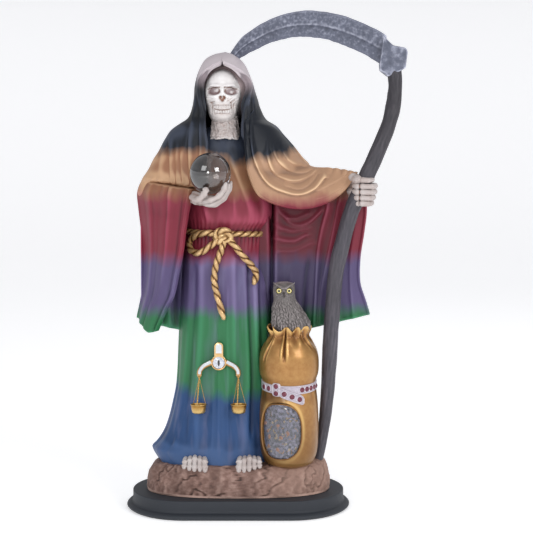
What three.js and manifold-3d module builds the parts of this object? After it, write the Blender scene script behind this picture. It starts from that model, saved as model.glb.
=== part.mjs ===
// A robed skeleton figure cast in resin with its rock and money bag, on a lacquered wooden plinth.
// It holds a scythe and a glass ball. An owl, a small pair of scales, a glazed window and red stones
// are pieces of their own. Millimetres, +Z up, front towards -Y, origin under the plinth's middle.
import * as THREE from "three";
import { mergeVertices } from "three/addons/utils/BufferGeometryUtils.js";
import Module from "manifold-3d";

// Plinth.
const PLINTH_LENGTH = 174;
const PLINTH_DEPTH = 106;
const PLINTH_HEIGHT = 15;
const PLINTH_STRAIGHT = 84;
const PLINTH_FOOT_SPREAD = 5;
const PLINTH_FOOT_HEIGHT = 5;
const PLINTH_EDGE_CHAMFER = 0.8;

// Figure: its forms are drawn 358 units high, from the rock's underside to the crown of the hood.
const FIGURE_HEIGHT = 358;
const DRAWN_HEIGHT = 358;
const DRAWN_BASE = 15;

// Pieces with a size of their own.
const BALL_DIAMETER = 33;
const HANDLE_DIAMETER = 12;
const BLADE_THICKNESS = 3.2;
const SOCKET_DEPTH = 13;
const SNATH_SINK = 4;
const STONE_DIAMETER = 3.6;
const STONE_HEIGHT = 1.7;
const STONE_SINK = 0.7;
const STONE_SPACING = 0.8;
const STRAP_WIDTH = 6.6;
const STRAP_THICKNESS = 1.5;
const WINDOW_WIDTH = 35;
const WINDOW_HEIGHT = 43;
const WINDOW_THICKNESS = 2;
const WINDOW_BULGE = 1.6;
const WINDOW_SETBACK = 1;
const WINDOW_FRAME = 3;
const CHAMBER_DEPTH = 6;
const BEAM_THICKNESS = 3;
const EYE_DIAMETER = 9.6;
const EYE_HEIGHT = 2.4;
const EYE_RIM = 1.4;
const EYE_SINK = 1;
const PAN_DIAMETER = 13;
const PAN_DEPTH = 7.5;
const PAN_WALL = 1;
const WIRE_DIAMETER = 0.9;
const ROPE_DIAMETER = 4.6;
const SEAT_GAP = 0.3;

const UNIT = FIGURE_HEIGHT / DRAWN_HEIGHT;
const FULL_TURN = 2 * Math.PI;
const DEGREE = Math.PI / 180;

const wasm = await Module();
wasm.setup();

// The solid inside a closed geometry.
function solid(geometry) {
  const bare = geometry.clone();
  bare.deleteAttribute("normal");
  bare.deleteAttribute("uv");
  const merged = mergeVertices(bare, 1e-3);
  const made = new wasm.Manifold(
    new wasm.Mesh({
      numProp: 3,
      vertProperties: new Float32Array(merged.attributes.position.array),
      triVerts: new Uint32Array(merged.index.array),
    }),
  );
  if (made.volume() <= 0) throw new Error("a form is inside out");
  return made;
}

function joined(solids) {
  return solids.reduce((whole, next) => whole.add(next));
}

function piece(name, shape, colour, roughness, metalness = 0) {
  const mesh = shape.getMesh();
  const geometry = new THREE.BufferGeometry();
  geometry.setAttribute("position", new THREE.BufferAttribute(new Float32Array(mesh.vertProperties), 3));
  geometry.setIndex(new THREE.BufferAttribute(new Uint32Array(mesh.triVerts), 1));
  geometry.computeVertexNormals();
  const material = new THREE.MeshStandardMaterial({ color: colour, roughness, metalness });
  const made = new THREE.Mesh(geometry, material);
  made.name = name;
  return made;
}

// A smooth curve through (place, value) pairs.
function track(pairs) {
  const last = pairs.length - 1;
  const slope = (i) => {
    const before = pairs[Math.max(i - 1, 0)];
    const after = pairs[Math.min(i + 1, last)];
    return (after[1] - before[1]) / (after[0] - before[0]);
  };
  return (place) => {
    if (place <= pairs[0][0]) return pairs[0][1];
    if (place >= pairs[last][0]) return pairs[last][1];
    const i = pairs.findIndex((pair) => pair[0] > place) - 1;
    const run = pairs[i + 1][0] - pairs[i][0];
    const s = (place - pairs[i][0]) / run;
    const h = s * s * (3 - 2 * s);
    const lean = s * (1 - s) * run;
    return pairs[i][1] * (1 - h) + pairs[i + 1][1] * h + lean * ((1 - s) * slope(i) - s * slope(i + 1));
  };
}

const mix = (a, b, share) => a + (b - a) * share;
const bell = (distance, width) => Math.exp(-((distance / width) ** 2));
const bounded = (value, low, high) => Math.min(Math.max(value, low), high);
const ease = (value) => {
  const t = bounded(value, 0, 1);
  return t * t * (3 - 2 * t);
};

// Turns a point of the figure's drawing into millimetres on the plinth.
function onFigure([x, y, z]) {
  return new THREE.Vector3(x * UNIT, y * UNIT, PLINTH_HEIGHT + (z - DRAWN_BASE) * UNIT);
}

const inMillimetres = ([x, y, z]) => new THREE.Vector3(x, y, z);

// Moves each vertex of a geometry to where place() puts it.
function shaped(geometry, place) {
  const position = geometry.attributes.position;
  const vertex = new THREE.Vector3();
  for (let i = 0; i < position.count; i++) {
    vertex.fromBufferAttribute(position, i);
    const moved = place(vertex);
    position.setXYZ(i, moved.x, moved.y, moved.z);
  }
  return solid(geometry);
}

// A closed form through rings: ring(turn, level) gives a point of each, and both ends are capped.
function loft(sides, levels, ring, frame = onFigure, middle = null) {
  const rows = levels.length - 1;
  const stock = new THREE.CylinderGeometry(1, 1, 1, sides, rows).rotateX(Math.PI / 2);
  const average = (level) => {
    const centre = new THREE.Vector3();
    for (let k = 0; k < sides; k++) centre.add(new THREE.Vector3(...ring((k / sides) * FULL_TURN, level)));
    return centre.divideScalar(sides).toArray();
  };
  return shaped(stock, (vertex) => {
    const level = levels[Math.round((vertex.z + 0.5) * rows)];
    if (Math.hypot(vertex.x, vertex.y) < 0.5) return frame((middle ?? average)(level));
    const step = Math.round((Math.atan2(vertex.x, -vertex.y) / FULL_TURN) * sides);
    return frame(ring(((step + sides) % sides) * (FULL_TURN / sides), level));
  });
}

// A closed tube along a curve, with its own radius at each share of the length, in millimetres.
function limb(curve, radius, sides, rows, flat = 1, guide = new THREE.Vector3(0, 1, 0)) {
  const levels = Array.from({ length: rows + 1 }, (_, i) => i / rows);
  const ring = (turn, share) => {
    const point = curve.getPoint(share);
    const along = curve.getTangent(share);
    const side = new THREE.Vector3().crossVectors(guide, along).normalize();
    const up = new THREE.Vector3().crossVectors(along, side);
    const r = radius(share);
    point.addScaledVector(side, r * Math.cos(turn)).addScaledVector(up, r * flat * Math.sin(turn));
    return point.toArray();
  };
  return loft(sides, levels, ring, inMillimetres);
}

const through = (points) => new THREE.CatmullRomCurve3(points);
const drawnCurve = (points) => through(points.map(onFigure));
const rounded = (full, end = 0.35) => (share) => full * Math.max(end, (1 - (2 * share - 1) ** 8) ** 0.5);

// A closed sheet: front(u, v) is its face in the drawing, with u to the right and v up, and depth(u, v)
// leads from there to its back.
function sheet(columns, rows, front, depth) {
  const stock = new THREE.BoxGeometry(1, 1, 1, columns, rows, 1).rotateX(Math.PI / 2);
  return shaped(stock, (vertex) => {
    const [u, v] = [vertex.x + 0.5, vertex.z + 0.5];
    const [x, y, z] = front(u, v);
    const [dx, dy] = vertex.y > 0 ? depth(u, v) : [0, 0];
    return onFigure([x + dx, y + dy, z]);
  });
}

function ball(centre, radii, around = 14, high = 9) {
  const stock = new THREE.SphereGeometry(1, around, high);
  return shaped(stock, (v) => new THREE.Vector3(v.x * radii[0], -v.z * radii[1], v.y * radii[2]).add(centre));
}

const drawnBall = (centre, radii, around, high) =>
  ball(onFigure(centre), radii.map((r) => r * UNIT), around, high);

// Plinth: an oval with straight front and back, a coved foot and a chamfered top edge.
function plinth() {
  const arcSteps = 16;
  const sides = 2 * arcSteps + 2;
  const ringAt = (spread) => (turn) => {
    const step = Math.round((turn / FULL_TURN) * sides);
    const right = step <= arcSteps;
    const angle = ((right ? step : step - 1) / arcSteps - 0.5) * Math.PI;
    const end = PLINTH_LENGTH / 2 - PLINTH_STRAIGHT / 2 + spread;
    const middle = (right ? 1 : -1) * (PLINTH_STRAIGHT / 2);
    return [middle + end * Math.cos(angle), (PLINTH_DEPTH / 2 + spread) * Math.sin(angle)];
  };
  const foot = PLINTH_FOOT_HEIGHT;
  const spread = PLINTH_FOOT_SPREAD;
  const profile = [
    [0, spread * 0.5],
    [foot * 0.2, spread * 0.85],
    [foot * 0.55, spread],
    [foot * 0.85, spread * 0.85],
    [foot, spread * 0.4],
    [foot * 1.4, 0],
    [PLINTH_HEIGHT - PLINTH_EDGE_CHAMFER, 0],
    [PLINTH_HEIGHT, -PLINTH_EDGE_CHAMFER],
  ];
  return loft(sides, profile, (turn, [z, out]) => [...ringAt(out)(turn), z], inMillimetres);
}

// Rock: a low mound with an uneven top, flat beneath.
const rockLevels = [DRAWN_BASE, 24, 32, 39];
const rockReach = track([[DRAWN_BASE, 1], [24, 1.01], [31, 0.98], [36, 0.94], [39, 0.86]]);

function rock() {
  return loft(34, rockLevels, (turn, z) => {
    const rough = z > DRAWN_BASE ? 0.018 : 0.008;
    const lump = 1 + rough * (Math.sin(5 * turn + z) + Math.sin(9 * turn - 0.4 * z));
    const [c, s] = [Math.cos(turn), Math.sin(turn)];
    const reach = rockReach(z) * lump;
    const top = z > 35 ? 1.6 * Math.sin(3 * turn + 1) + (c > 0.75 ? 2 * (c - 0.75) * 4 : 0) : 0;
    return [
      75 * reach * Math.sign(c) * Math.abs(c) ** 0.82,
      44 * reach * Math.sign(s) * Math.abs(s) ** 0.82,
      z + top,
    ];
  });
}

// Robe: its four outlines by height, and pleats that deepen towards the hem.
const robeLeft = track([
  [34, -62], [48, -71], [57, -65], [69, -59], [82, -55], [102, -50], [144, -48], [200, -45], [226, -42],
  [250, -45], [285, -44], [303, -34], [314, -22],
]);
const robeRight = track([
  [34, 32], [48, 30], [82, 25], [122, 21], [200, 20], [226, 20], [250, 23], [285, 20], [303, 10], [314, -2],
]);
const robeFront = track([
  [34, -36], [48, -34], [82, -30], [122, -28], [200, -27], [226, -23], [238, -26], [285, -25], [303, -20],
  [314, -14],
]);
const robeBack = track([[34, 40], [82, 36], [200, 31], [226, 28], [285, 26], [314, 16]]);
const robeLevels = [36, 46, 58, 78, 120, 170, 212, 226, 235, 260, 290, 312];

function robePleats(turn, z) {
  const depth = mix(2.2, 0.8, ease((z - 60) / 160)) * (1 - 0.6 * bell(z - 226, 8));
  return depth * Math.cos(12 * turn + 1.1 * Math.sin(2 * turn + 1) + 0.5 * Math.sin(z / 40));
}

function ovalPoint(turn, z, left, right, front, back, swell) {
  const [a, b] = [(right - left) / 2 + swell, (back - front) / 2 + swell];
  return [(left + right) / 2 + a * Math.cos(turn), (front + back) / 2 + b * Math.sin(turn), z];
}

function robePoint(turn, z, swell = 0) {
  const out = robePleats(turn, z) + swell;
  return ovalPoint(turn, z, robeLeft(z), robeRight(z), robeFront(z), robeBack(z), out);
}

// The robe's face towards the viewer, without its pleats, at a place across it.
function robeFace(x, z) {
  const [left, right, front, back] = [robeLeft(z), robeRight(z), robeFront(z), robeBack(z)];
  const across = bounded((x - (left + right) / 2) / ((right - left) / 2), -0.99, 0.99);
  return (front + back) / 2 - ((back - front) / 2) * Math.sqrt(1 - across * across);
}

// Cloak and hood.
const cloakLeft = track([
  [150, -52], [205, -50], [232, -58], [250, -76], [262, -83], [268, -80], [278, -73], [286, -69], [292, -65],
  [303, -59], [310, -54], [315, -47], [319, -41], [325, -38], [334, -36], [346, -35], [357, -32], [367, -26],
  [371, -19], [373, -12],
]);
const cloakRight = track([
  [150, 31], [205, 32], [240, 44], [262, 56], [281, 58], [288, 52], [297, 45], [306, 37], [313, 31], [318, 23],
  [327, 18], [334, 16], [343, 13], [356, 9], [365, 4], [371, -4], [373, -8],
]);
const cloakFront = track([
  [150, 6], [215, 2], [236, -6], [250, -22], [262, -29], [285, -31], [303, -29], [320, -26], [346, -26],
  [360, -22], [368, -14], [373, 0],
]);
const cloakBack = track([
  [150, 44], [200, 39], [250, 35], [290, 33], [312, 28], [330, 27], [346, 28], [357, 25], [367, 16], [373, 6],
]);
const cloakLevels = [150, 190, 232, 250, 262, 278, 296, 310, 321, 334, 348, 360, 368, 372.5];

function cloakFolds(turn, z) {
  const hem = 2.4 * (1 - ease((z - 150) / 190)) + 0.5;
  const crown = 1 - ease((z - 335) / 30);
  const arm = 1.4 * bell(turn - 230 * DEGREE, 0.45) * bell(z - 285, 25) * Math.cos(26 * turn);
  const behind = ease(Math.sin(turn) * 2 + 0.6);
  return crown * (hem * behind * Math.cos(11 * turn + 0.7 * Math.sin(3 * turn)) + arm);
}

function cloakPoint(turn, z) {
  const out = cloakFolds(turn, z);
  return ovalPoint(turn, z, cloakLeft(z), cloakRight(z), cloakFront(z), cloakBack(z), out);
}

// The long opening from the brow of the hood to the belt, as a cutter.
function cloakOpening() {
  const left = track([[226, -46], [250, -34], [263, -33], [294, -24], [309, -22], [321, -20.5], [334, -26],
    [343, -27], [350, -25.5], [357, -21], [362, -15], [364, -12]]);
  const right = track([[226, 18], [257, 16], [274, 9], [294, 7], [306, 4], [325, 5], [342, 6], [350, 3.5],
    [357, -3], [362, -9], [364, -11]]);
  const heights = [226, 250, 263, 278, 294, 309, 321, 334, 343, 350, 357, 362, 364];
  const stock = new THREE.BoxGeometry(1, 1, 1, 1, heights.length - 1, 1).rotateX(Math.PI / 2);
  return shaped(stock, (vertex) => {
    const z = heights[Math.round((vertex.z + 0.5) * (heights.length - 1))];
    return onFigure([vertex.x < 0 ? left(z) : right(z), vertex.y < 0 ? -70 : 6, z]);
  });
}

// The cloak's flap over the raised arm: swags hang between the shoulder ridge and the curved hem.
const flapRidge = [[15, -6, 328], [24, -3, 317], [37, -2, 306], [47, -5, 295], [59, -10, 281], [74, -15, 279],
  [87, -18, 277], [97, -20, 275]];
const flapHem = [[6, -26, 314], [7, -30, 294], [10, -33, 274], [18, -34, 257], [29, -33, 248.5], [45, -31, 244],
  [61, -29, 245], [77, -27, 252], [88, -25, 263], [94, -24, 272]];

function swagFold(u, v) {
  const middle = Math.sin(Math.PI * bounded(u, 0, 1)) ** 0.7;
  return middle * (2.6 * bell(v - 0.3, 0.07) + 2.2 * bell(v - 0.5, 0.06) + 1.8 * bell(v - 0.68, 0.05)
    + 1.3 * bell(v - 0.83, 0.04)) + 1.2 * bell(v, 0.06);
}

function armFlap() {
  const ridge = new THREE.CatmullRomCurve3(flapRidge.map((p) => new THREE.Vector3(...p)));
  const hem = new THREE.CatmullRomCurve3(flapHem.map((p) => new THREE.Vector3(...p)));
  const front = (u, v) => {
    const low = hem.getPoint(u);
    const high = ridge.getPoint(u);
    const fullness = 6 * Math.sin(Math.PI * v ** 0.8) * Math.sin(Math.PI * bounded(u * 1.05, 0, 1));
    const bulge = fullness + swagFold(u, v);
    return [mix(low.x, high.x, v), mix(low.y, high.y, v) - bulge, mix(low.z, high.z, v)];
  };
  return sheet(9, 12, front, (u, v) => [0, 7 + 13 * v]);
}

// The wide sleeve that hangs from the raised arm, behind the scythe's shaft.
const hangEdge = track([[146, 109], [159, 108], [170, 105], [186, 100], [206, 100], [227, 103], [246, 105],
  [262, 103], [272, 97]]);

function hangingSleeve() {
  const front = (u, v) => {
    const z = mix(mix(142, 159.5, u ** 1.3), mix(290, 268, u), v);
    const x = mix(12, hangEdge(z), u);
    const upright = 2 * Math.cos(u * 27 + 0.6) * ease((u - 0.45) / 0.3);
    const swagged = bell(u - 0.3, 0.2) * bell(z - 222, 22);
    const swags = 1.8 * swagged * Math.cos((z - 22 * (2 * u - 0.62) ** 2) / 2.9);
    return [x, -7 - 3 * u - 2 * Math.sin(Math.PI * v) + upright + swags, z];
  };
  return sheet(14, 6, front, (u) => [0, mix(20, 10, u)]);
}

// The wide sleeve that hangs from the bent arm, and its inner layer against the robe.
const sleeveOuter = track([[145, -82], [153, -82], [175, -79], [192, -78], [210, -78], [227, -79], [247, -81],
  [262, -83], [269, -79]]);
const sleeveEdge = track([[145, -67], [165, -58], [177, -52], [194, -49], [214, -46], [230, -44], [250, -41],
  [263, -38], [269, -38]]);

function bentSleeve() {
  const front = (u, v) => {
    const low = mix(153, 145.5, ease(u * 1.5)) + 2 * ease((u - 0.75) * 4);
    const z = mix(low, 269 - 4 * u, v);
    const folds = 1.5 * Math.cos(17 * u + 0.8) * (1 - 0.5 * v);
    const bulge = 4 * Math.sin(Math.PI * u) + folds + 2 * Math.sin(Math.PI * v) * u;
    return [mix(sleeveOuter(z), sleeveEdge(z), u) - 0.6 * bulge, mix(5, -26 - 11 * v, u) - 0.8 * bulge, z];
  };
  return sheet(8, 5, front, (u, v) => [mix(10, 4, u), mix(8, 5, u)]);
}

function sleeveLining() {
  const front = (u, v) => [mix(-80, -34, u), 3 + 1.5 * Math.cos(9 * u), mix(mix(153, 146, u), 262, v)];
  return sheet(2, 1, front, () => [0, 15]);
}

function bentArm() {
  const curve = drawnCurve([[-70, 8, 255], [-62, -14, 257], [-40, -37, 258]]);
  return limb(curve, (share) => mix(13, 7, share) * UNIT, 8, 3);
}

// Skull and neck.
const skullMiddle = [-12.4, -6, 341];

function skull() {
  const stock = new THREE.SphereGeometry(1, 18, 12);
  const head = shaped(stock, (v) => {
    const [side, face, up] = [v.x, -v.z, v.y];
    const jaw = ease((-up - 0.15) / 0.75);
    const forward = ease(-face * 1.4);
    const width = 13.4 + 1.2 * jaw + 0.6 * bell(up + 0.15, 0.16);
    const teeth = 1.6 * forward * bell(up + 0.5, 0.16) * bell(side, 0.5);
    const depth = (face < 0 ? 15.5 : 17) + teeth;
    return onFigure([
      skullMiddle[0] + side * width,
      skullMiddle[1] + face * depth * (1 + 0.35 * jaw * forward),
      skullMiddle[2] + up * (up > 0 ? 17.5 : 24),
    ]);
  });
  const hollow = (x, y, z, radii) => drawnBall([skullMiddle[0] + x, y, z], radii, 8, 6);
  const sockets = [hollow(-5.9, -20.5, 341.5, [3.9, 4.5, 3.6]), hollow(5.9, -20.5, 341.5, [3.9, 4.5, 3.6]),
    hollow(0, -22, 334, [1.9, 3, 2.8])];
  return head.subtract(joined(sockets));
}

const neckSpread = track([[297, 13], [302, 13.4], [307, 11.8], [312, 10.8], [328, 9.6]]);

function neck() {
  return loft(10, [297, 303, 309, 328], (turn, z) => {
    const r = neckSpread(z) * (1 + 0.05 * Math.cos(5 * turn + z));
    return [-10.5 + r * Math.cos(turn), -9 + r * 0.9 * Math.sin(turn) - 3 * ease((308 - z) / 8), z];
  });
}

// Toes under the hem, five to a foot.
function toes() {
  const feet = [-34.5, 9.5];
  return feet.flatMap((foot) => Array.from({ length: 5 }, (_, i) => {
    const [x, short] = [foot + 4.3 * (i - 2), Math.abs(i - 2)];
    const curve = drawnCurve([[x, -28, 45], [x, -37, 46.5 - short * 0.6], [x, -42 + short, 42.5],
      [x, -43 + short, 36]]);
    return limb(curve, rounded(2.5 * UNIT), 4, 3, 1, new THREE.Vector3(1, 0, 0));
  }));
}

// Glass ball, resting on the open hand.
const palmTop = onFigure([-21, -45, 258.5]);
const ballMiddle = palmTop.clone().add(new THREE.Vector3(0, 0, BALL_DIAMETER / 2));

function glassBall(extra = 0) {
  const r = BALL_DIAMETER / 2 + extra;
  return ball(ballMiddle, [r, r, r], 18, 11);
}

// A point outside the ball: bearing round it from the right, dip below its middle, and how far off.
function roundBall(bearing, dip, off) {
  const r = BALL_DIAMETER / 2 + off;
  const level = r * Math.cos(dip * DEGREE);
  return ballMiddle.clone().add(new THREE.Vector3(
    level * Math.cos(bearing * DEGREE), level * Math.sin(bearing * DEGREE), -r * Math.sin(dip * DEGREE)));
}

const sideways = (bearing) => new THREE.Vector3(-Math.sin(bearing * DEGREE), Math.cos(bearing * DEGREE), 0);

function openHand() {
  const bone = 2 * UNIT;
  const digit = (from, to, dips, thickness) => {
    const bearing = (i) => mix(from, to, i / (dips.length - 1));
    const points = dips.map((dip, i) => roundBall(bearing(i), dip, thickness * 0.9));
    return limb(through(points), rounded(thickness), 4, 3, 1, sideways((from + to) / 2));
  };
  const fingers = [-38, -14, 8, 30].map((bearing, i) => {
    return digit(bearing, bearing, [80, 56, 34, 14 + 5 * (i % 2)], bone);
  });
  const thumb = digit(202, 252, [78, 62, 46, 30, 14], bone * 1.2);
  const reach = [onFigure([-46, -33, 257]), onFigure([-37, -40, 255.5]), roundBall(200, 76, 3.2 * UNIT)];
  const wrist = limb(through(reach), () => 4.4 * UNIT, 6, 3, 0.8);
  const palm = ball(palmTop.clone().add(new THREE.Vector3(-2 * UNIT, 0, -3.6 * UNIT)),
    [13 * UNIT, 10 * UNIT, 4.6 * UNIT], 9, 5);
  return joined([palm, wrist, thumb, ...fingers]);
}

// Scythe: the shaft's centre line, its share of the full thickness, and the blade's two edges.
const shaftLine = [[66.5, -8, 41], [71.5, -11, 76], [74.5, -15, 115], [76.5, -18, 155], [80, -21, 197],
  [91, -24, 243], [99, -25, 262], [110, -23, 286], [122, -19, 316], [126.5, -14, 338], [127, -10, 362]];
const shaftThickness = track([[0, 0.58], [0.08, 0.8], [0.2, 1], [0.5, 1.06], [0.9, 1], [1, 0.95]]);
const bladeBack = track([[-16, 357], [-6, 374.5], [4, 387], [20, 397.5], [35, 403.8], [48, 406.4], [58, 407],
  [74, 405], [89, 401], [105, 394], [116, 388], [127, 380]]);
const bladeEdge = track([[-16, 355.5], [-6, 363], [3, 370], [17, 377], [29, 382], [42, 385], [52, 385.6], [69, 384],
  [84, 379], [100, 372], [115, 363], [127, 356]]);
const bladeStations = [-16, -8, 0, 10, 22, 36, 50, 65, 80, 96, 108, 120];
const socketOutline = [[117, 385], [125, 377.5], [135.5, 375.5], [137, 372], [135.5, 359], [131, 356.5],
  [121, 352], [114.5, 357], [114, 361.5]];
const bladePlane = (x) => -9 + (120 - x) * 0.3;

function scythe(extra = 0) {
  const sunk = onFigure(shaftLine[0]).add(new THREE.Vector3(-0.6, 0.3, -SNATH_SINK - extra));
  const line = through([sunk, ...shaftLine.map(onFigure)]);
  const shaft = limb(line, (share) => (HANDLE_DIAMETER / 2) * shaftThickness(share) + extra, 8, 15);
  const corners = socketOutline.map(([x, z]) => new THREE.Vector2(x * UNIT, (z - DRAWN_BASE) * UNIT));
  const outline = new THREE.Shape(corners);
  const block = new THREE.ExtrudeGeometry(outline, { depth: SOCKET_DEPTH, bevelEnabled: false });
  const socket = solid(block.rotateX(Math.PI / 2).translate(0, -9 * UNIT + SOCKET_DEPTH / 2, PLINTH_HEIGHT));
  const half = BLADE_THICKNESS / 2 + extra;
  const sides = [[1, 0.5], [1, -0.5], [0.46, -1], [0, 0], [0.46, 1]];
  const blade = loft(5, bladeStations, (turn, x) => {
    const [rise, side] = sides[Math.round((turn / FULL_TURN) * 5) % 5];
    const z = onFigure([0, 0, mix(bladeEdge(x), bladeBack(x), rise)]).z + extra * (2 * rise - 1);
    return [x * UNIT, bladePlane(x) * UNIT + side * half, z];
  }, inMillimetres);
  return joined([shaft, socket, blade]);
}

// The shaft's middle at a drawn height.
function shaftAt(z) {
  const line = drawnCurve(shaftLine);
  const wanted = onFigure([0, 0, z]).z;
  let share = 0;
  while (share < 1 && line.getPoint(share).z < wanted) share += 0.002;
  return line.getPoint(share);
}

// Closed hand round the shaft: the palm behind it and four fingers across its front.
function closedHand() {
  const bone = 2.9 * UNIT;
  const reach = HANDLE_DIAMETER / 2 + bone * 0.75;
  const fingers = [270, 264.4, 258.8, 253.4].map((z, i) => {
    const middle = shaftAt(z);
    const width = reach * [1.1, 1.2, 1.15, 1][i];
    const path = [140, 185, 230, 275, 320, 360].map((bearing) => middle.clone().add(new THREE.Vector3(
      width * Math.cos(bearing * DEGREE), reach * Math.sin(bearing * DEGREE), (235 - bearing) * 0.008)));
    return limb(through(path), rounded(bone, 0.5), 4, 5, 1, new THREE.Vector3(0, 0, 1));
  });
  const behind = shaftAt(262).add(new THREE.Vector3(-2 * UNIT, HANDLE_DIAMETER / 2 + 2 * UNIT, 0));
  const palm = ball(behind, [12 * UNIT, 7 * UNIT, 15 * UNIT], 8, 5);
  const wrist = limb(through([onFigure([76, -10, 272]), onFigure([87, -15, 270]),
    behind.clone().add(new THREE.Vector3(-3 * UNIT, 0, 4 * UNIT))]), () => 5.2 * UNIT, 6, 2);
  return joined([palm, wrist, ...fingers]);
}

// Rope girdle with its bow and two tails.
function girdle() {
  const r = ROPE_DIAMETER / 2;
  const lift = ([x, z, out]) => onFigure([x, robeFace(x, z) - out, z]);
  const stretch = (points, rows) => limb(through(points.map(lift)), () => r, 4, rows);
  const onRobe = (degrees, z) => onFigure(robePoint(degrees * DEGREE, z, 0.6));
  const level = Array.from({ length: 10 }, (_, i) => onRobe(192 + i * 17, 227.5 - i * 0.25));
  const across = limb(through(level), () => r, 4, 9, 1, new THREE.Vector3(0, 0, 1));
  const bow = [[-15, 226, 3], [-24, 227, 4], [-35, 224, 4], [-40, 218, 3], [-38, 212, 4], [-31, 210.5, 5],
    [-22, 216, 5], [-14, 223, 4]];
  const shortTail = [[-11, 226, 4], [-3, 218, 5], [4, 209, 4], [11, 201, 3.5], [15, 194, 3.5],
    [13.5, 188, 3.5]];
  const longTail = [[-10, 224, 5], [-13, 213, 5], [-17, 202, 4], [-18.5, 189, 3.5], [-16, 177, 3.5],
    [-11, 160, 3.5]];
  const knot = ball(lift([-12, 225, 3]), [5.5 * UNIT, 4 * UNIT, 5 * UNIT], 6, 4);
  return joined([knot, across, stretch(bow, 9), stretch(shortTail, 5), stretch(longTail, 6)]);
}

// Money bag: radius by height, with a waist under the strap and a ruffled mouth.
const bagMiddle = [41.7, -20];
const bagRadius = track([[38, 17], [43, 20.5], [50, 23], [66, 24], [86, 23.6], [95, 22.2], [101, 21], [107, 22.4],
  [114, 23.8], [125, 23.8], [132, 22], [139, 17.5], [144, 14.8], [148, 16], [151, 17]]);
const bagLevels = [33, 44, 58, 86, 95, 101, 106, 115, 125, 133, 139.5, 144, 151];
const strapHeight = (turn) => 104.5 + 2.5 * Math.sin(turn);

function bagPoint(turn, z, out = 0) {
  const gather = bell(z - 139, 8) * Math.cos(7 * turn + 0.5);
  const ruffle = ease((z - 145) / 5);
  const r = bagRadius(z) + 1.2 * gather + 1.6 * ruffle * Math.cos(7 * turn) + out;
  const sag = (strapHeight(turn) - 101) * bell(z - 101, 12);
  return [bagMiddle[0] + r * Math.cos(turn), bagMiddle[1] + r * Math.sin(turn),
    z + sag + 1.3 * ruffle * Math.cos(7 * turn + 1.2)];
}

function bag() {
  const levels = [...bagLevels.map((z) => [z, 0]), [151, -2.2], [147, -2.6]];
  return loft(20, levels, (turn, [z, out]) => bagPoint(turn, z, out));
}

// Window: a rounded opening drawn on the bag's curved front, turned a little to the left.
const windowTurn = 250 * DEGREE;
const windowMiddle = 68.5;
const windowReach = 24;
const chamberBack = WINDOW_SETBACK + WINDOW_THICKNESS + CHAMBER_DEPTH;

// A curved drum: half sizes along the bag's face and, by level, [millimetres off the bag's face, share].
function windowDrum(halfWidth, halfHeight, levels) {
  const place = (a, b, out) => {
    const turn = windowTurn + a / (windowReach * UNIT);
    const away = new THREE.Vector3(Math.cos(turn), Math.sin(turn), 0);
    const axis = onFigure([bagMiddle[0], bagMiddle[1], windowMiddle]);
    const bulge = windowReach * UNIT - 0.0022 * b * b;
    return axis.addScaledVector(away, bulge + out).add(new THREE.Vector3(0, 0, b)).toArray();
  };
  const rounding = (value) => Math.sign(value) * Math.abs(value) ** 0.78;
  return loft(14, levels, (turn, [out, share]) => place(
    halfWidth * share * rounding(Math.cos(turn)), halfHeight * share * rounding(Math.sin(turn)), out),
  inMillimetres, ([out]) => place(0, 0, out));
}

const windowFrame = () => windowDrum(WINDOW_WIDTH / 2 + WINDOW_FRAME, WINDOW_HEIGHT / 2 + WINDOW_FRAME,
  [[-chamberBack, 0.5], [-chamberBack, 0.9], [-1.5, 1], [0.4, 1], [1.2, 0.95], [1.2, 0.5]]);

const windowChamber = () => windowDrum(WINDOW_WIDTH / 2 + SEAT_GAP, WINDOW_HEIGHT / 2 + SEAT_GAP,
  [[-chamberBack, 0.5], [-chamberBack, 1], [-WINDOW_SETBACK - WINDOW_THICKNESS, 1], [-WINDOW_SETBACK, 1], [4, 1],
    [4, 0.5]]);

const windowGlass = () => windowDrum(WINDOW_WIDTH / 2, WINDOW_HEIGHT / 2,
  [[-WINDOW_SETBACK - WINDOW_THICKNESS, 0.5], [-WINDOW_SETBACK - WINDOW_THICKNESS, 1], [-WINDOW_SETBACK, 1],
    [-WINDOW_SETBACK + WINDOW_BULGE * 0.7, 0.75], [-WINDOW_SETBACK + WINDOW_BULGE, 0.4]]);

// A point off the bag's waist: turn about the bag, drawn height, and millimetres out.
function offWaist(turn, z, out) {
  const [x, y] = bagPoint(turn, 101);
  const away = new THREE.Vector3(Math.cos(turn), Math.sin(turn), 0);
  return onFigure([x, y, z]).addScaledVector(away, out);
}

// A flat band round part of the bag's waist.
function band(turns, heightAt, width, inside, outside) {
  const corners = [[outside, 1], [outside, -1], [inside, -1], [inside, 1]];
  return loft(4, turns.map((degrees) => degrees * DEGREE), (turn, bearing) => {
    const [out, up] = corners[Math.round((turn / FULL_TURN) * 4) % 4];
    return offWaist(bearing, heightAt(bearing), out).add(new THREE.Vector3(0, 0, (up * width) / 2)).toArray();
  }, inMillimetres);
}

const looseEnd = (turn) => 100.8 - 8.4 * (turn - 250 * DEGREE);
const span = (from, to, count) => Array.from({ length: count + 1 }, (_, i) => mix(from, to, i / count));

function strap() {
  const round = band(span(0, 336, 14).concat([359.9]), strapHeight, STRAP_WIDTH, -3, STRAP_THICKNESS);
  const keeper = band(span(233, 251, 2), strapHeight, STRAP_WIDTH * 1.75, -1, STRAP_THICKNESS * 1.5);
  const end = band(span(249, 300, 4), looseEnd, STRAP_WIDTH * 1.25, -1, STRAP_THICKNESS * 2);
  return [round, keeper, end];
}

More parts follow.
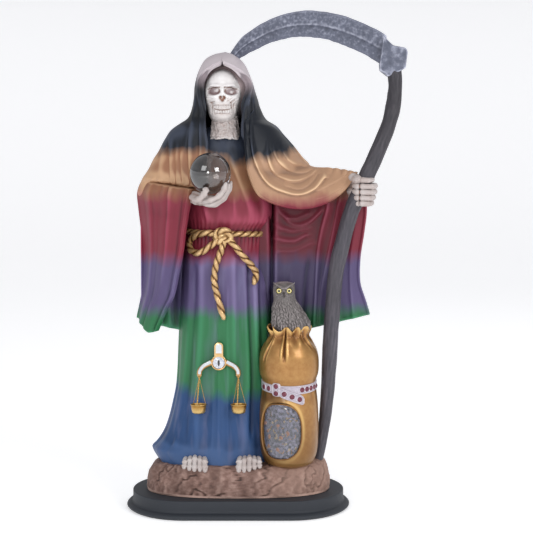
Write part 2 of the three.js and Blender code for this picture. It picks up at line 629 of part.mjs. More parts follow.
// Red stones: [degrees round the bag, drawn height, how far out their seat is].
function stonePlaces() {
  const pitch = (STONE_DIAMETER + STONE_SPACING) / (22 * UNIT) / DEGREE;
  const along = [207, 223, ...[0, 1, 2, 3, 4].map((i) => 297 + i * pitch)].map((degrees) => {
    return [degrees, strapHeight(degrees * DEGREE), STRAP_THICKNESS];
  });
  const onKeeper = [2.9, -2.9].map((up) => [242.5, strapHeight(242.5 * DEGREE) + up, STRAP_THICKNESS * 1.5]);
  const onEnd = [260, 275, 290].map((degrees) => [degrees, looseEnd(degrees * DEGREE), STRAP_THICKNESS * 2]);
  return [...along, ...onKeeper, ...onEnd];
}

function stone([degrees, z, out], gap = 0) {
  const turn = degrees * DEGREE;
  const away = new THREE.Vector3(Math.cos(turn), Math.sin(turn), 0);
  const seat = offWaist(turn, z, out);
  const levels = gap > 0 ? [[-STONE_SINK - gap, 1.1], [STONE_HEIGHT, 1.1]]
    : [[-STONE_SINK, 1], [0, 1], [STONE_HEIGHT - STONE_SINK, 0.55]];
  return loft(gap > 0 ? 6 : 8, levels, (angle, [rise, share]) => {
    const r = (STONE_DIAMETER / 2) * share + gap;
    return seat.clone().addScaledVector(away, rise)
      .add(new THREE.Vector3(-away.y, away.x, 0).multiplyScalar(r * Math.cos(angle)))
      .add(new THREE.Vector3(0, 0, r * Math.sin(angle))).toArray();
  }, inMillimetres);
}

// Owl perched in the mouth of the bag.
const owlMiddle = track([[146, 42.5], [152, 42.5], [160, 41], [168, 39.2], [174, 38], [180, 37.5], [189, 37.5]]);
const owlWidth = track([[146, 12.6], [152, 14.3], [160, 13], [168, 10.8], [173, 8.9], [180, 8.7], [186, 8.4],
  [189, 6.5]]);
const owlDepth = track([[146, 11], [160, 11.5], [170, 9.5], [175, 8.8], [184, 8.8], [189, 5]]);

function owl(gap = 0) {
  const body = loft(12, [146.5, 152, 159, 166, 172, 178, 185, 189], (turn, z) => {
    const chest = 1 + 0.06 * bell(z - 160, 8) * (Math.sin(turn) < 0 ? 1 : 0);
    const [across, deep] = [owlWidth(z) * Math.cos(turn), owlDepth(z) * chest * Math.sin(turn)];
    const p = onFigure([owlMiddle(z) + across, -21 + deep, z]);
    p.x += gap * Math.cos(turn);
    p.y += gap * Math.sin(turn);
    p.z -= z < 147 ? gap : 0;
    return p.toArray();
  }, inMillimetres);
  const tufts = [-1, 1].map((side) => {
    const points = [[3, -28, 184.5], [6.5, -27.5, 187], [10, -26, 189.5]];
    const curve = drawnCurve(points.map(([x, y, z]) => [37.5 + side * x, y, z]));
    return limb(curve, (share) => mix(1.9, 0.6, share) * UNIT, 5, 3);
  });
  const eyes = [-1, 1].map((side) => drawnBall([37.5 + side * 4.1, -28.3, 180.8], [2.7, 1.8, 2.7], 7, 5));
  const beak = limb(drawnCurve([[37.5, -28.5, 180], [37.5, -31, 178], [37.5, -30.5, 175.5]]),
    (share) => mix(1.5, 0.5, share) * UNIT, 5, 3, 1, new THREE.Vector3(1, 0, 0));
  return joined([body, ...tufts, ...eyes, beak]);
}

// Small pair of scales hung on the skirt: a beam with a jewel, and two pans on wires.
const beamMiddle = onFigure([-15, robeFace(-15, 123), 123]);
const beamBack = beamMiddle.y - 1.2;
const beamFront = beamBack - BEAM_THICKNESS;
const scaleSpread = 15.7 * UNIT;
const armEnd = (side) => new THREE.Vector3(beamMiddle.x + side * scaleSpread, beamFront + BEAM_THICKNESS / 2,
  beamMiddle.z - 10.5 * UNIT);

// A round plate across the front of the beam.
function plate(radius, from, to, sides = 14) {
  const stock = new THREE.CylinderGeometry(radius, radius, from - to, sides);
  return solid(stock.translate(beamMiddle.x, (from + to) / 2, beamMiddle.z));
}

function scaleBeam(extra = 0) {
  const disc = plate(EYE_DIAMETER / 2 + EYE_RIM + extra, beamBack + extra, beamFront - extra);
  const y = (beamBack + beamFront) / 2;
  const along = new THREE.Vector3(0, 1, 0);
  const arms = [-1, 1].map((side) => {
    const points = [[2, 2.5], [7, -0.5], [12, -3], [15.2, -6.5], [15.7, -10.5]];
    const curve = through(points.map(([x, z]) => new THREE.Vector3(
      beamMiddle.x + side * x * UNIT, y, beamMiddle.z + z * UNIT)));
    const half = 1.9 * UNIT + extra;
    return limb(curve, () => half, 6, 6, (BEAM_THICKNESS / 2 + extra) / half, along);
  });
  const rise = (z) => new THREE.Vector3(beamMiddle.x, y, beamMiddle.z + z * UNIT);
  const tongue = through([4, 9, 14, 16.5, 17.8].map(rise));
  const width = (share) => (share > 0.9 ? 2.2 : share > 0.6 ? 3.5 : 3.8) * UNIT + extra;
  const bail = limb(tongue, width, 8, 5, BEAM_THICKNESS / (7.6 * UNIT), along);
  return joined([disc, ...arms, bail]);
}

function eyeSeat() {
  return plate(EYE_DIAMETER / 2 + SEAT_GAP, beamFront + EYE_SINK + SEAT_GAP, beamFront - 4);
}

function jewel() {
  const r = EYE_DIAMETER / 2;
  const profile = [[0, -EYE_SINK], [r, -EYE_SINK], [r, 0.2], [r * 0.7, (EYE_HEIGHT - EYE_SINK) * 0.7],
    [0, EYE_HEIGHT - EYE_SINK]].map(([x, y]) => new THREE.Vector2(x, y));
  const stock = new THREE.LatheGeometry(profile, 14).rotateX(Math.PI);
  return solid(stock.translate(beamMiddle.x, beamFront, beamMiddle.z));
}

// A bowl on three wires that meet in a bead under the end of the beam.
function scalePan(side) {
  const top = armEnd(side).add(new THREE.Vector3(0, 0, -SEAT_GAP));
  const drop = 19.5 * UNIT;
  const r = PAN_DIAMETER / 2;
  const inner = r - PAN_WALL;
  const profile = [[0, -PAN_DEPTH], [r * 0.62, -PAN_DEPTH * 0.97], [r * 0.88, -PAN_DEPTH * 0.5],
    [r, -1.7], [r, 0], [inner, 0], [inner * 0.8, -PAN_DEPTH * 0.5], [0, PAN_WALL * 1.2 - PAN_DEPTH]];
  const middle = new THREE.Vector3(top.x + side * 0.4, top.y - r * 0.85, top.z - drop);
  const turned = new THREE.LatheGeometry(profile.map(([x, y]) => new THREE.Vector2(x, y)), 12);
  const bowl = solid(turned.rotateX(Math.PI / 2).translate(middle.x, middle.y, middle.z));
  const wires = [-100, 20, 140].map((bearing) => {
    const rim = middle.clone().add(new THREE.Vector3(
      (r - 0.6) * Math.cos(bearing * DEGREE), (r - 0.6) * Math.sin(bearing * DEGREE), -0.6));
    const from = top.clone().add(new THREE.Vector3(0, 0, -1));
    return limb(through([from, from.clone().lerp(rim, 0.5), rim]), () => WIRE_DIAMETER / 2, 4, 1);
  });
  const bead = ball(top.clone().add(new THREE.Vector3(0, 0, -1)), [1, 1, 1], 6, 4);
  return joined([bowl, bead, ...wires]);
}

// Statue: all that is cast in one, with seats for the pieces fitted to it.
function statueCasting() {
  const robe = loft(36, robeLevels, robePoint);
  const cloak = loft(32, cloakLevels, cloakPoint).subtract(cloakOpening());
  const bagWhole = joined([bag(), windowFrame(), ...strap()]);
  const figure = joined([
    rock(), robe, cloak, armFlap(), hangingSleeve(), bentSleeve(), sleeveLining(), bentArm(),
    skull(), neck(), ...toes(), openHand(), closedHand(), girdle(),
  ]);
  const seats = joined([
    scythe(SEAT_GAP), glassBall(SEAT_GAP), owl(SEAT_GAP), scaleBeam(SEAT_GAP), windowChamber(),
    ...stonePlaces().map((place) => stone(place, SEAT_GAP)),
  ]);
  return figure.add(bagWhole).subtract(seats);
}

const part = new THREE.Group();
part.name = "santa_muerte_figure";
part.add(piece("plinth", plinth(), 0x1d2127, 0.35));
part.add(piece("statue_casting", statueCasting().translate([0, 0, SEAT_GAP]), 0x8a3347, 0.5));
part.add(piece("scythe", scythe().translate([0, 0, SEAT_GAP]), 0x46464f, 0.6));
part.add(piece("crystal_ball", glassBall().translate([0, 0, SEAT_GAP]), 0xdfe6ee, 0.05));
part.add(piece("owl", owl().translate([0, 0, SEAT_GAP]), 0x6f6a68, 0.8));
part.add(piece("relic_window", windowGlass().translate([0, 0, SEAT_GAP]), 0xd8dde4, 0.08));
part.add(piece("scale_beam", scaleBeam().subtract(eyeSeat()).translate([0, 0, SEAT_GAP]), 0xd7c7a4, 0.35));
part.add(piece("scale_jewel", jewel().translate([0, 0, SEAT_GAP]), 0xc8ccd6, 0.1));
part.add(piece("scale_pan_left", scalePan(-1).translate([0, 0, SEAT_GAP]), 0xb98d4a, 0.4, 0.8));
part.add(piece("scale_pan_right", scalePan(1).translate([0, 0, SEAT_GAP]), 0xb98d4a, 0.4, 0.8));
stonePlaces().forEach((place, i) => {
  part.add(piece(`bag_stone_${i + 1}`, stone(place).translate([0, 0, SEAT_GAP]), 0x6b1f35, 0.1));
});

export default part;
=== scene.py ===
# A robed skeleton figure cast in resin and painted in seven airbrushed bands, on a lacquered plinth.
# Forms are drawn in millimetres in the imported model's frame and become metres when a piece is done.
import math
import random
from bisect import bisect_right

import bmesh
import bpy
import numpy as np
from bpy.props import FloatProperty, FloatVectorProperty, PointerProperty
from mathutils import Matrix, Vector, noise


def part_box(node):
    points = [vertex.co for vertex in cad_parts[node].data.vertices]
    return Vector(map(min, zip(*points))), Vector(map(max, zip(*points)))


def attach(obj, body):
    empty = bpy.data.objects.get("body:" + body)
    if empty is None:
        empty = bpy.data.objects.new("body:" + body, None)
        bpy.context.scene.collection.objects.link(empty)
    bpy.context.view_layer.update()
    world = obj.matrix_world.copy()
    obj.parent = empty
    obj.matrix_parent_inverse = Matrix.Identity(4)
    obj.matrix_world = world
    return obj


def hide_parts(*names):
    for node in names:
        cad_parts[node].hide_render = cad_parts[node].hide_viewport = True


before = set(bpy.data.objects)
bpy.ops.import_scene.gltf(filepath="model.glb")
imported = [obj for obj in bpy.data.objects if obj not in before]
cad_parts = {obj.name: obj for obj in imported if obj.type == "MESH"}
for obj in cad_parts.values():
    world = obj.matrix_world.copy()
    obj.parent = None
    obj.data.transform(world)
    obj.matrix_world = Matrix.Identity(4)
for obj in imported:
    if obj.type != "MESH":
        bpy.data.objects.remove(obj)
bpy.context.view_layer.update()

bl_info = {
    "name": "Santa muerte figure",
    "version": (1, 0, 0),
    "blender": (4, 5, 0),
    "location": "3D view > Sidebar > Figure",
    "description": "Models and paints a robed skeleton figure on its plinth",
    "category": "Add Mesh",
}

MILLIMETRE = 0.001
FULL_TURN = 2 * math.pi
RIGHT_ANGLE = math.pi / 2
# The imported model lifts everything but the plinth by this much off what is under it, in millimetres.
SEAT_GAP = 0.3
BLACK = (0, 0, 0)
WHITE = (1, 1, 1)


def linear(code):
    """An sRGB hex colour as linear red, green and blue. A colour that is linear already stays as it is."""
    if not isinstance(code, str):
        return tuple(code)
    shares = [int(code[i : i + 2], 16) / 255 for i in (1, 3, 5)]
    return tuple(c / 12.92 if c <= 0.04045 else ((c + 0.055) / 1.055) ** 2.4 for c in shares)


def colour(name, code, description):
    return FloatVectorProperty(
        name=name, description=description, default=linear(code), size=3, min=0, max=1, subtype="COLOR"
    )


def length(name, millimetres, description):
    return FloatProperty(
        name=name, description=description, default=millimetres * MILLIMETRE, min=0, unit="LENGTH", precision=5
    )


def span_of(node, axis):
    """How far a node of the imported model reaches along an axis, in millimetres."""
    low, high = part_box(node)
    return (high[axis] - low[axis]) / MILLIMETRE


class FigureSizes(bpy.types.PropertyGroup):
    """Sizes of the pieces that have one of their own."""

    ball: length("Glass ball", span_of("crystal_ball", 2), "Diameter of the glass ball")
    handle: length("Scythe shaft", 12, "Diameter of the scythe's shaft at its middle")
    blade: length("Scythe blade", 3.2, "Thickness of the scythe's blade")
    socket: length("Scythe socket", 13, "Depth of the block that joins blade and shaft")
    rope: length("Rope", 5.2, "Diameter of the rope girdle")
    strap: length("Strap", 7.2, "Width of the bag's jewelled strap")
    stone: length("Stone", 4.3, "Diameter of a red stone")
    window_bead: length("Window bead", 2.2, "Diameter of the bead round the bag's window")
    pan: length("Scale pan", span_of("scale_pan_left", 0), "Diameter of a pan of the small scales")
    cloth: length("Carved cloth", 3.4, "Thickness of the carved cloth at its edges")


class FigureColours(bpy.types.PropertyGroup):
    """Paints and resins, as they look in even white light."""

    hood_white: colour("Hood white", "#897f84", "Top of the hood")
    black: colour("Black band", "#11161f", "Shoulders")
    gold: colour("Gold band", "#9c7254", "Forearms and chest")
    red: colour("Red band", "#7c2838", "Sleeves and waist")
    purple: colour("Purple band", "#574c72", "Hips")
    green: colour("Green band", "#2c6d45", "Knees")
    blue: colour("Blue band", "#254572", "Hem of the robe")
    bone: colour("Bone", "#95827b", "Skull, neck, hands and feet")
    bone_wash: colour("Bone wash", "#7a4a2e", "Brown wash left in the bones' hollows")
    rope: colour("Rope gold", "#976a36", "Crests of the rope")
    rock: colour("Rock brown", "#7b5d53", "Rock under the feet")
    bag: colour("Bag gold", "#a27340", "Money bag")
    strap: colour("Strap silver", "#b4aab6", "Strap of the bag")
    stone: colour("Stone red", "#520c24", "Stones of the strap")
    scythe: colour("Scythe charcoal", "#44454f", "Scythe")
    owl: colour("Owl grey", "#6d6866", "Owl")
    plinth: colour("Plinth black", "#0c151e", "Plinth")
    floor: colour("Floor white", "#f7f7f8", "Studio floor and wall")


def paint(name):
    """A colour of the panel."""
    return tuple(getattr(bpy.context.scene.figure_colours, name))


def size_of(name):
    """A size of the panel, in millimetres."""
    return getattr(bpy.context.scene.figure_sizes, name) / MILLIMETRE


# Smooth curves and small shares.


def track(*pairs):
    """A smooth curve through (place, value) pairs, level beyond its ends."""
    places, values = zip(*pairs)
    last = len(pairs) - 1
    slopes = [
        (values[min(i + 1, last)] - values[max(i - 1, 0)]) / (places[min(i + 1, last)] - places[max(i - 1, 0)])
        for i in range(last + 1)
    ]

    def at(place):
        if place <= places[0]:
            return values[0]
        if place >= places[-1]:
            return values[-1]
        i = bisect_right(places, place) - 1
        run = places[i + 1] - places[i]
        s = (place - places[i]) / run
        h = s * s * (3 - 2 * s)
        lean = s * (1 - s) * run * ((1 - s) * slopes[i] - s * slopes[i + 1])
        return values[i] * (1 - h) + values[i + 1] * h + lean

    return at


def mix(a, b, share):
    return a + (b - a) * share


def spread(low, high, count):
    """Values from low to high in even steps."""
    return [mix(low, high, i / count) for i in range(count + 1)]


def bell(distance, width):
    """One at no distance, and a good third at a width."""
    return math.exp(-((distance / width) ** 2))


def bounded(value, low=0.0, high=1.0):
    return min(max(value, low), high)


def ease(value):
    """A smooth step from 0 to 1."""
    t = bounded(value)
    return t * t * (3 - 2 * t)


def crest(distance, below, above):
    """A cloth fold's section: highest at nought, steep below it and gentle above."""
    return bell(distance, below if distance < 0 else above)


def fold(line, along, across, tall, start, end, below=0.7, above=3.0, fade=6):
    """A cloth fold whose crest follows across = line(along) between two ends."""
    shown = ease((along - start) / fade) * ease((end - along) / fade)
    if not shown:
        return 0.0
    lean = line(along + 0.5) - line(along - 0.5)
    return tall * shown * crest((across - line(along)) / math.hypot(1, lean), below, above)


def pleat(phase):
    """A row of pleats, from -1 to 1: round crests and narrow valleys."""
    return 0.45 * math.cos(phase) + 0.55 * (2 * abs(math.cos(phase / 2)) - 1)


def grain(x, y, z, size):
    """Smooth noise from -1 to 1 with lumps of about this size in millimetres."""
    return noise.noise(Vector((x, y, z)) / size)


def fold_table(table, along, across, *shape):
    """What all folds of a table add up to at a place. shape ends each fold's row."""
    return sum(fold(line, along, across, *row, *shape) for line, *row in table)


def lip_drop(edge, lip):
    """How far cloth draws in at a distance from its edge, so that it ends in a round lip."""
    return lip * (1 - math.sqrt(1 - (1 - min(edge / lip, 1)) ** 2))


def crowded(share, strength):
    """A share moved towards the nearer end, which sets rows of quads closer along both edges."""
    return share - strength * math.sin(FULL_TURN * share) / FULL_TURN


def squared_off(value, power):
    """A sine or cosine that squares a circle off, the more the smaller the power is."""
    return math.copysign(abs(value) ** power, value)


def bearing_of(turn):
    """The level direction of a turn round an upright axis."""
    return Vector((math.cos(turn), math.sin(turn), 0))


class Course:
    """A smooth curve through points, with a place and a direction at each share of its length."""

    def __init__(self, points):
        points = [Vector(p) for p in points]
        self.points = [2 * points[0] - points[1], *points, 2 * points[-1] - points[-2]]
        self.pieces = len(points) - 1

    def at(self, share):
        place = bounded(share) * self.pieces
        i = min(int(place), self.pieces - 1)
        t = place - i
        a, b, c, d = self.points[i : i + 4]
        gaps = [max((q - p).length ** 0.5, 1e-4) for p, q in ((a, b), (b, c), (c, d))]
        start = ((b - a) / gaps[0] - (c - a) / (gaps[0] + gaps[1]) + (c - b) / gaps[1]) * gaps[1]
        end = ((c - b) / gaps[1] - (d - b) / (gaps[1] + gaps[2]) + (d - c) / gaps[2]) * gaps[1]
        return b + start * t + (3 * (c - b) - 2 * start - end) * t**2 + (2 * (b - c) + start + end) * t**3

    def along(self, share):
        return (self.at(share + 0.004) - self.at(share - 0.004)).normalized()


# Shapes: each starts as a grid of quads whose vertices are then moved into place.


def sheet_of_quads(form, columns, rows):
    """A new grid in the form, as [(vertex, share across, share up)]."""
    made = bmesh.ops.create_grid(form, x_segments=columns, y_segments=rows, size=0.5)
    return [(vertex, vertex.co.x + 0.5, vertex.co.y + 0.5) for vertex in made["verts"]]


def tidy(form, vertices, gap=1e-4):
    """Closes the seams and poles of new vertices and turns their faces outwards."""
    bmesh.ops.remove_doubles(form, verts=vertices, dist=gap)
    alive = [vertex for vertex in vertices if vertex.is_valid]
    faces = {face for vertex in alive for face in vertex.link_faces}
    bmesh.ops.recalc_face_normals(form, faces=list(faces))


def loft(form, sides, levels, ring):
    """A closed skin through rings: ring(turn, level) gives a point, and the ends close on their middles."""
    places = [levels[0], *levels, levels[-1]]
    rows = len(places) - 1
    ends = {}
    for row in (0, rows):
        around = [Vector(ring(k / sides * FULL_TURN, places[row])) for k in range(sides)]
        ends[row] = sum(around, Vector()) / sides
    grid = sheet_of_quads(form, sides, rows)
    for vertex, across, up in grid:
        row = round(up * rows)
        step = round(across * sides) % sides
        vertex.co = ends[row] if row in ends else ring(step / sides * FULL_TURN, places[row])
    tidy(form, [vertex for vertex, _, _ in grid])


def limb(form, curve, radius, sides, rows, flat=1.0, guide=(0, 1, 0), carve=None):
    """A closed tube along a curve. radius is a function of the share of its length, or a pair that it goes
    between evenly, and carve(turn, share) gives a share of it."""
    guide = Vector(guide)
    reach = radius if callable(radius) else lambda share: mix(*radius, share)

    def ring(turn, share):
        along = curve.along(share)
        side = guide.cross(along).normalized()
        up = along.cross(side)
        r = reach(share) * (carve(turn, share) if carve else 1)
        return curve.at(share) + side * (r * math.cos(turn)) + up * (r * flat * math.sin(turn))

    loft(form, sides, spread(0, 1, rows), ring)


def egg(form, middle, radii, around=24, high=16, carve=None):
    """A ball or egg shape; carve(direction) gives a share of its size that way."""
    made = bmesh.ops.create_uvsphere(form, u_segments=around, v_segments=high, radius=1)
    for vertex in made["verts"]:
        way = vertex.co.copy()
        size = carve(way) if carve else 1
        vertex.co = Vector(middle) + Vector((way[i] * radii[i] * size for i in range(3)))


def slab(form, columns, rows, size, face, depth, lip=1.1):
    """A closed slab of carved cloth. face(u, v) is its front, and depth(u, v) leads from there to its
    back. size is its width and height, from which the edges get a round lip."""
    across = form.verts.layers.float.get("across") or form.verts.layers.float.new("across")
    up = form.verts.layers.float.get("up") or form.verts.layers.float.new("up")
    grid = sheet_of_quads(form, columns, rows)
    for vertex, u, v in grid:
        vertex[across], vertex[up] = crowded(u, 0.8), crowded(v, 0.8)
    faces = {side for vertex, _, _ in grid for side in vertex.link_faces}
    raised = bmesh.ops.extrude_face_region(form, geom=list(faces))["geom"]
    fronts = [item for item in raised if isinstance(item, bmesh.types.BMVert)]
    backs = [vertex for vertex, _, _ in grid]
    for vertices, is_front in ((fronts, True), (backs, False)):
        for vertex in vertices:
            u, v = vertex[across], vertex[up]
            edge = min(u * size[0], (1 - u) * size[0], v * size[1], (1 - v) * size[1])
            drop = lip_drop(edge, lip)
            back = Vector((*depth(u, v), 0))
            point = Vector(face(u, v))
            away = back.normalized()
            vertex.co = point + (away * drop if is_front else back - away * drop)
    tidy(form, fronts + backs)


# Finishing a piece.


def property_table(items, name, width, kind=float):
    """One property of a mesh's vertices or edges, as a table with a row for each."""
    table = np.empty(len(items) * width, dtype=kind)
    items.foreach_get(name, table)
    return table.reshape(-1, width)


def write_relief(mesh, steps, reach):
    """Stores how far each vertex stands above its surroundings, from 0 in hollows to 1 on crests."""
    places = property_table(mesh.vertices, "co", 3)
    normals = property_table(mesh.vertices, "normal", 3)
    pairs = property_table(mesh.edges, "vertices", 2, int)
    count = len(places)
    first, second = pairs.T
    degree = np.maximum(np.bincount(pairs.ravel(), minlength=count), 1)

    def eased(values):
        total = np.bincount(first, values[second], count) + np.bincount(second, values[first], count)
        return 0.5 * values + 0.5 * total / degree

    smooth = [places[:, axis].copy() for axis in range(3)]
    for _ in range(steps):
        smooth = [eased(values) for values in smooth]
    height = sum((places[:, axis] - smooth[axis]) * normals[:, axis] for axis in range(3))
    relief = np.clip(0.5 + height / (2 * reach * MILLIMETRE), 0, 1)
    for _ in range(2):
        relief = eased(relief)
    stored = mesh.attributes.new("relief", "FLOAT", "POINT")
    stored.data.foreach_set("value", relief.astype(np.float32))


def made_once(make):
    """The material that a function makes, which has its name and is made at its first use."""
    material = bpy.data.materials.get(make.__name__)
    if not material:
        material = make()
        material.name = make.__name__
    return material


def finish_piece(name, build, material, relief=(40, 0.5), node_name="statue_casting",
                 sharp=None, lift=SEAT_GAP):
    """Builds a form in millimetres and turns it into a piece of the figure that stands for a CAD node.
    relief is how many steps wide and how many millimetres deep its hollows are, for their paint."""
    form = bmesh.new()
    build(form)
    bmesh.ops.translate(form, verts=form.verts, vec=(0, 0, lift))
    bmesh.ops.scale(form, verts=form.verts, vec=(MILLIMETRE,) * 3)
    mesh = bpy.data.meshes.new(name)
    form.to_mesh(mesh)
    form.free()
    for layer in ("across", "up"):
        if layer in mesh.attributes:
            mesh.attributes.remove(mesh.attributes[layer])
    mesh.polygons.foreach_set("use_smooth", [True] * len(mesh.polygons))
    if sharp is not None:
        mesh.set_sharp_from_angle(angle=math.radians(sharp))
    write_relief(mesh, *relief)
    mesh.materials.append(made_once(material))
    piece = bpy.data.objects.new(name, mesh)
    bpy.context.scene.collection.objects.link(piece)
    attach(piece, "root")
    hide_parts(node_name)


# Materials.


def set_inputs(tree, made, inputs):
    """Gives inputs of a node a link, where the value is a socket, or else the value."""
    for name, value in inputs.items():
        if isinstance(value, bpy.types.NodeSocket):
            tree.links.new(value, made.inputs[name])
        else:
            made.inputs[name].default_value = value


def node(tree, kind, inputs=None, stops=(), out=0, **settings):
    """Adds a shader node with its settings, links and values, and returns one of its outputs."""
    made = tree.nodes.new("ShaderNode" + kind)
    for name, value in settings.items():
        setattr(made, name, value)
    set_inputs(tree, made, inputs or {})
    for i, (place, shade) in enumerate(stops):
        elements = made.color_ramp.elements
        stop = elements[i] if i < 2 else elements.new(place)
        stop.position = place
        stop.color = (*linear(shade), 1)
    return made.outputs[out]


def new_material():
    """A material to be named when it is done, with its node tree and its shader."""
    material = bpy.data.materials.new("finish")
    material.use_nodes = True
    return material, material.node_tree, material.node_tree.nodes["Principled BSDF"]


def tinted(shade, factor, towards=BLACK):
    """A colour moved some way towards another."""
    return tuple(mix(a, b, factor) for a, b in zip(linear(shade), linear(towards)))


def coated(material, shade, share):
    """Lays another coat over a material, by a share that a socket gives."""
    tree = material.node_tree
    shader = tree.nodes["Principled BSDF"]
    under = shader.inputs["Base Color"].links[0].from_socket
    coat = node(tree, "Mix", {0: share, 6: under, 7: (*linear(shade), 1)}, out=2, data_type="RGBA")
    tree.links.new(coat, shader.inputs["Base Color"])
    return material


def overcoated(material, shade, axis, places, shares):
    """Lays another coat over a material, by a share that goes from one value to another between two places
    along an axis, in millimetres."""
    tree = material.node_tree
    axes = node(tree, "SeparateXYZ", {0: node(tree, "TexCoord", out="Object")}).node.outputs
    start, end = (place * MILLIMETRE for place in places)
    share = node(tree, "MapRange", {"Value": axes[axis], "From Min": start, "From Max": end, "To Min": shares[0],
                                    "To Max": shares[1]}, interpolation_type="SMOOTHSTEP")
    return coated(material, shade, share)


def off_spots(tree, spots, stretch):
    """How far a place is from the nearest of some spots given in millimetres, with each axis stretched."""
    place = node(tree, "TexCoord", out="Object")
    place = node(tree, "VectorMath", {0: place, 1: stretch}, operation="MULTIPLY")
    nearest = None
    for spot in spots:
        there = tuple(a * b * MILLIMETRE for a, b in zip(spot, stretch))
        reach = node(tree, "VectorMath", {0: place, 1: there}, out="Value", operation="DISTANCE")
        nearest = reach if nearest is None else node(tree, "Math", {0: nearest, 1: reach}, operation="MINIMUM")
    return nearest


def worked(tones, grain_mm, bump, roughness, stretch=(1, 1, 1), mottle=0.3, metallic=0.0, coat=0.0,
           specular=0.5, stops=(0.22, 0.5, 0.88), wash=None):
    """A solid finish in three tones, for its hollows, its body and its crests, which are partly the finish's own
    and partly painted shade and painted highlight, mottled and grained. wash is a darker coat, a painted shade, of
    a strength that grows from one height in millimetres to another."""
    material, tree, shader = new_material()
    hollow, body, peak = (linear(tone) for tone in tones)
    place = node(tree, "TexCoord", out="Object")
    place = node(tree, "VectorMath", {0: place, 1: stretch}, operation="MULTIPLY")
    fine = node(tree, "TexNoise", {"Vector": place, "Scale": 1000 / grain_mm, "Detail": 5.0, "Roughness": 0.62})
    broad = node(tree, "TexNoise", {"Vector": place, "Scale": 110 / grain_mm, "Detail": 3.0})
    relief = node(tree, "Attribute", attribute_name="relief", out="Fac")
    uneven = node(tree, "MapRange", {"Value": fine, "To Min": -0.16, "To Max": 0.16})
    height = node(tree, "Math", {0: relief, 1: uneven}, operation="ADD", use_clamp=True)
    # Darker in hollows and paler on crests: partly the finish's own, partly painted shade and painted highlight.
    tone = node(tree, "ValToRGB", {"Fac": height}, [(stops[0], hollow), (stops[2], peak), (stops[1], body)])
    cloud = node(tree, "MapRange", {"Value": broad, "From Min": 0.35, "From Max": 0.68, "To Max": mottle})
    dull = (*tinted(body, 0.62, hollow), 1)
    set_inputs(tree, shader, {
        "Base Color": node(tree, "Mix", {0: cloud, 6: tone, 7: dull}, out=2, data_type="RGBA"),
        "Roughness": node(tree, "MapRange", {"Value": broad, "To Min": roughness - 0.07,
                                             "To Max": roughness + 0.09}),
        "Normal": node(tree, "Bump", {"Height": fine, "Strength": bump, "Distance": grain_mm * 0.25 * MILLIMETRE}),
        "Metallic": metallic, "Specular IOR Level": specular, "Coat Weight": coat, "Coat Roughness": 0.12})
    # A painted shade that darkens the finish between two heights.
    if wash:
        overcoated(material, hollow, 2, wash[:2], (0.0, wash[2]))
    return material


# The robe's bands from the hem up: name, tone in hollows, tone on crests, and the height of the next
# band with half of the width over which the two were sprayed into each other, in millimetres.
# The tones in hollows and on crests are partly the airbrushing's own and partly painted shade and painted
# highlight.
BANDS = (
    ("blue", "#152b4f", "#4a6a9c", 102.5, 5),
    ("green", "#143f2c", "#48966c", 163, 5.5),
    ("purple", "#34304f", "#8b7fa8", 206, 6),
    ("red", "#40121c", "#ae4c64", 257, 5.5),
    ("gold", "#5f3a26", "#ecc69c", 283.5, 4),
    ("black", "#080a10", "#414858", 341, 6),
    ("hood_white", "#93868b", "#d2c8cc", 400, 1),
)
BANDS_TOP = 400


def band_ramp(tree, level, tone, red_top, gold):
    """The bands up the figure in one of their tones: 0 in hollows, 1 between, 2 on crests."""
    stops = []
    low = 0
    for band, hollow, peak, top, blend in BANDS:
        top = red_top if band == "red" else top
        shade = linear((hollow, paint(band), peak)[tone])
        if band == "gold":
            shade = tinted(shade, *gold)
        stops += [(low / BANDS_TOP, shade), ((top - blend) / BANDS_TOP, shade)]
        low = top + blend
    return node(tree, "ValToRGB", {"Fac": level}, [stops[0], stops[-1], *stops[1:-1]])


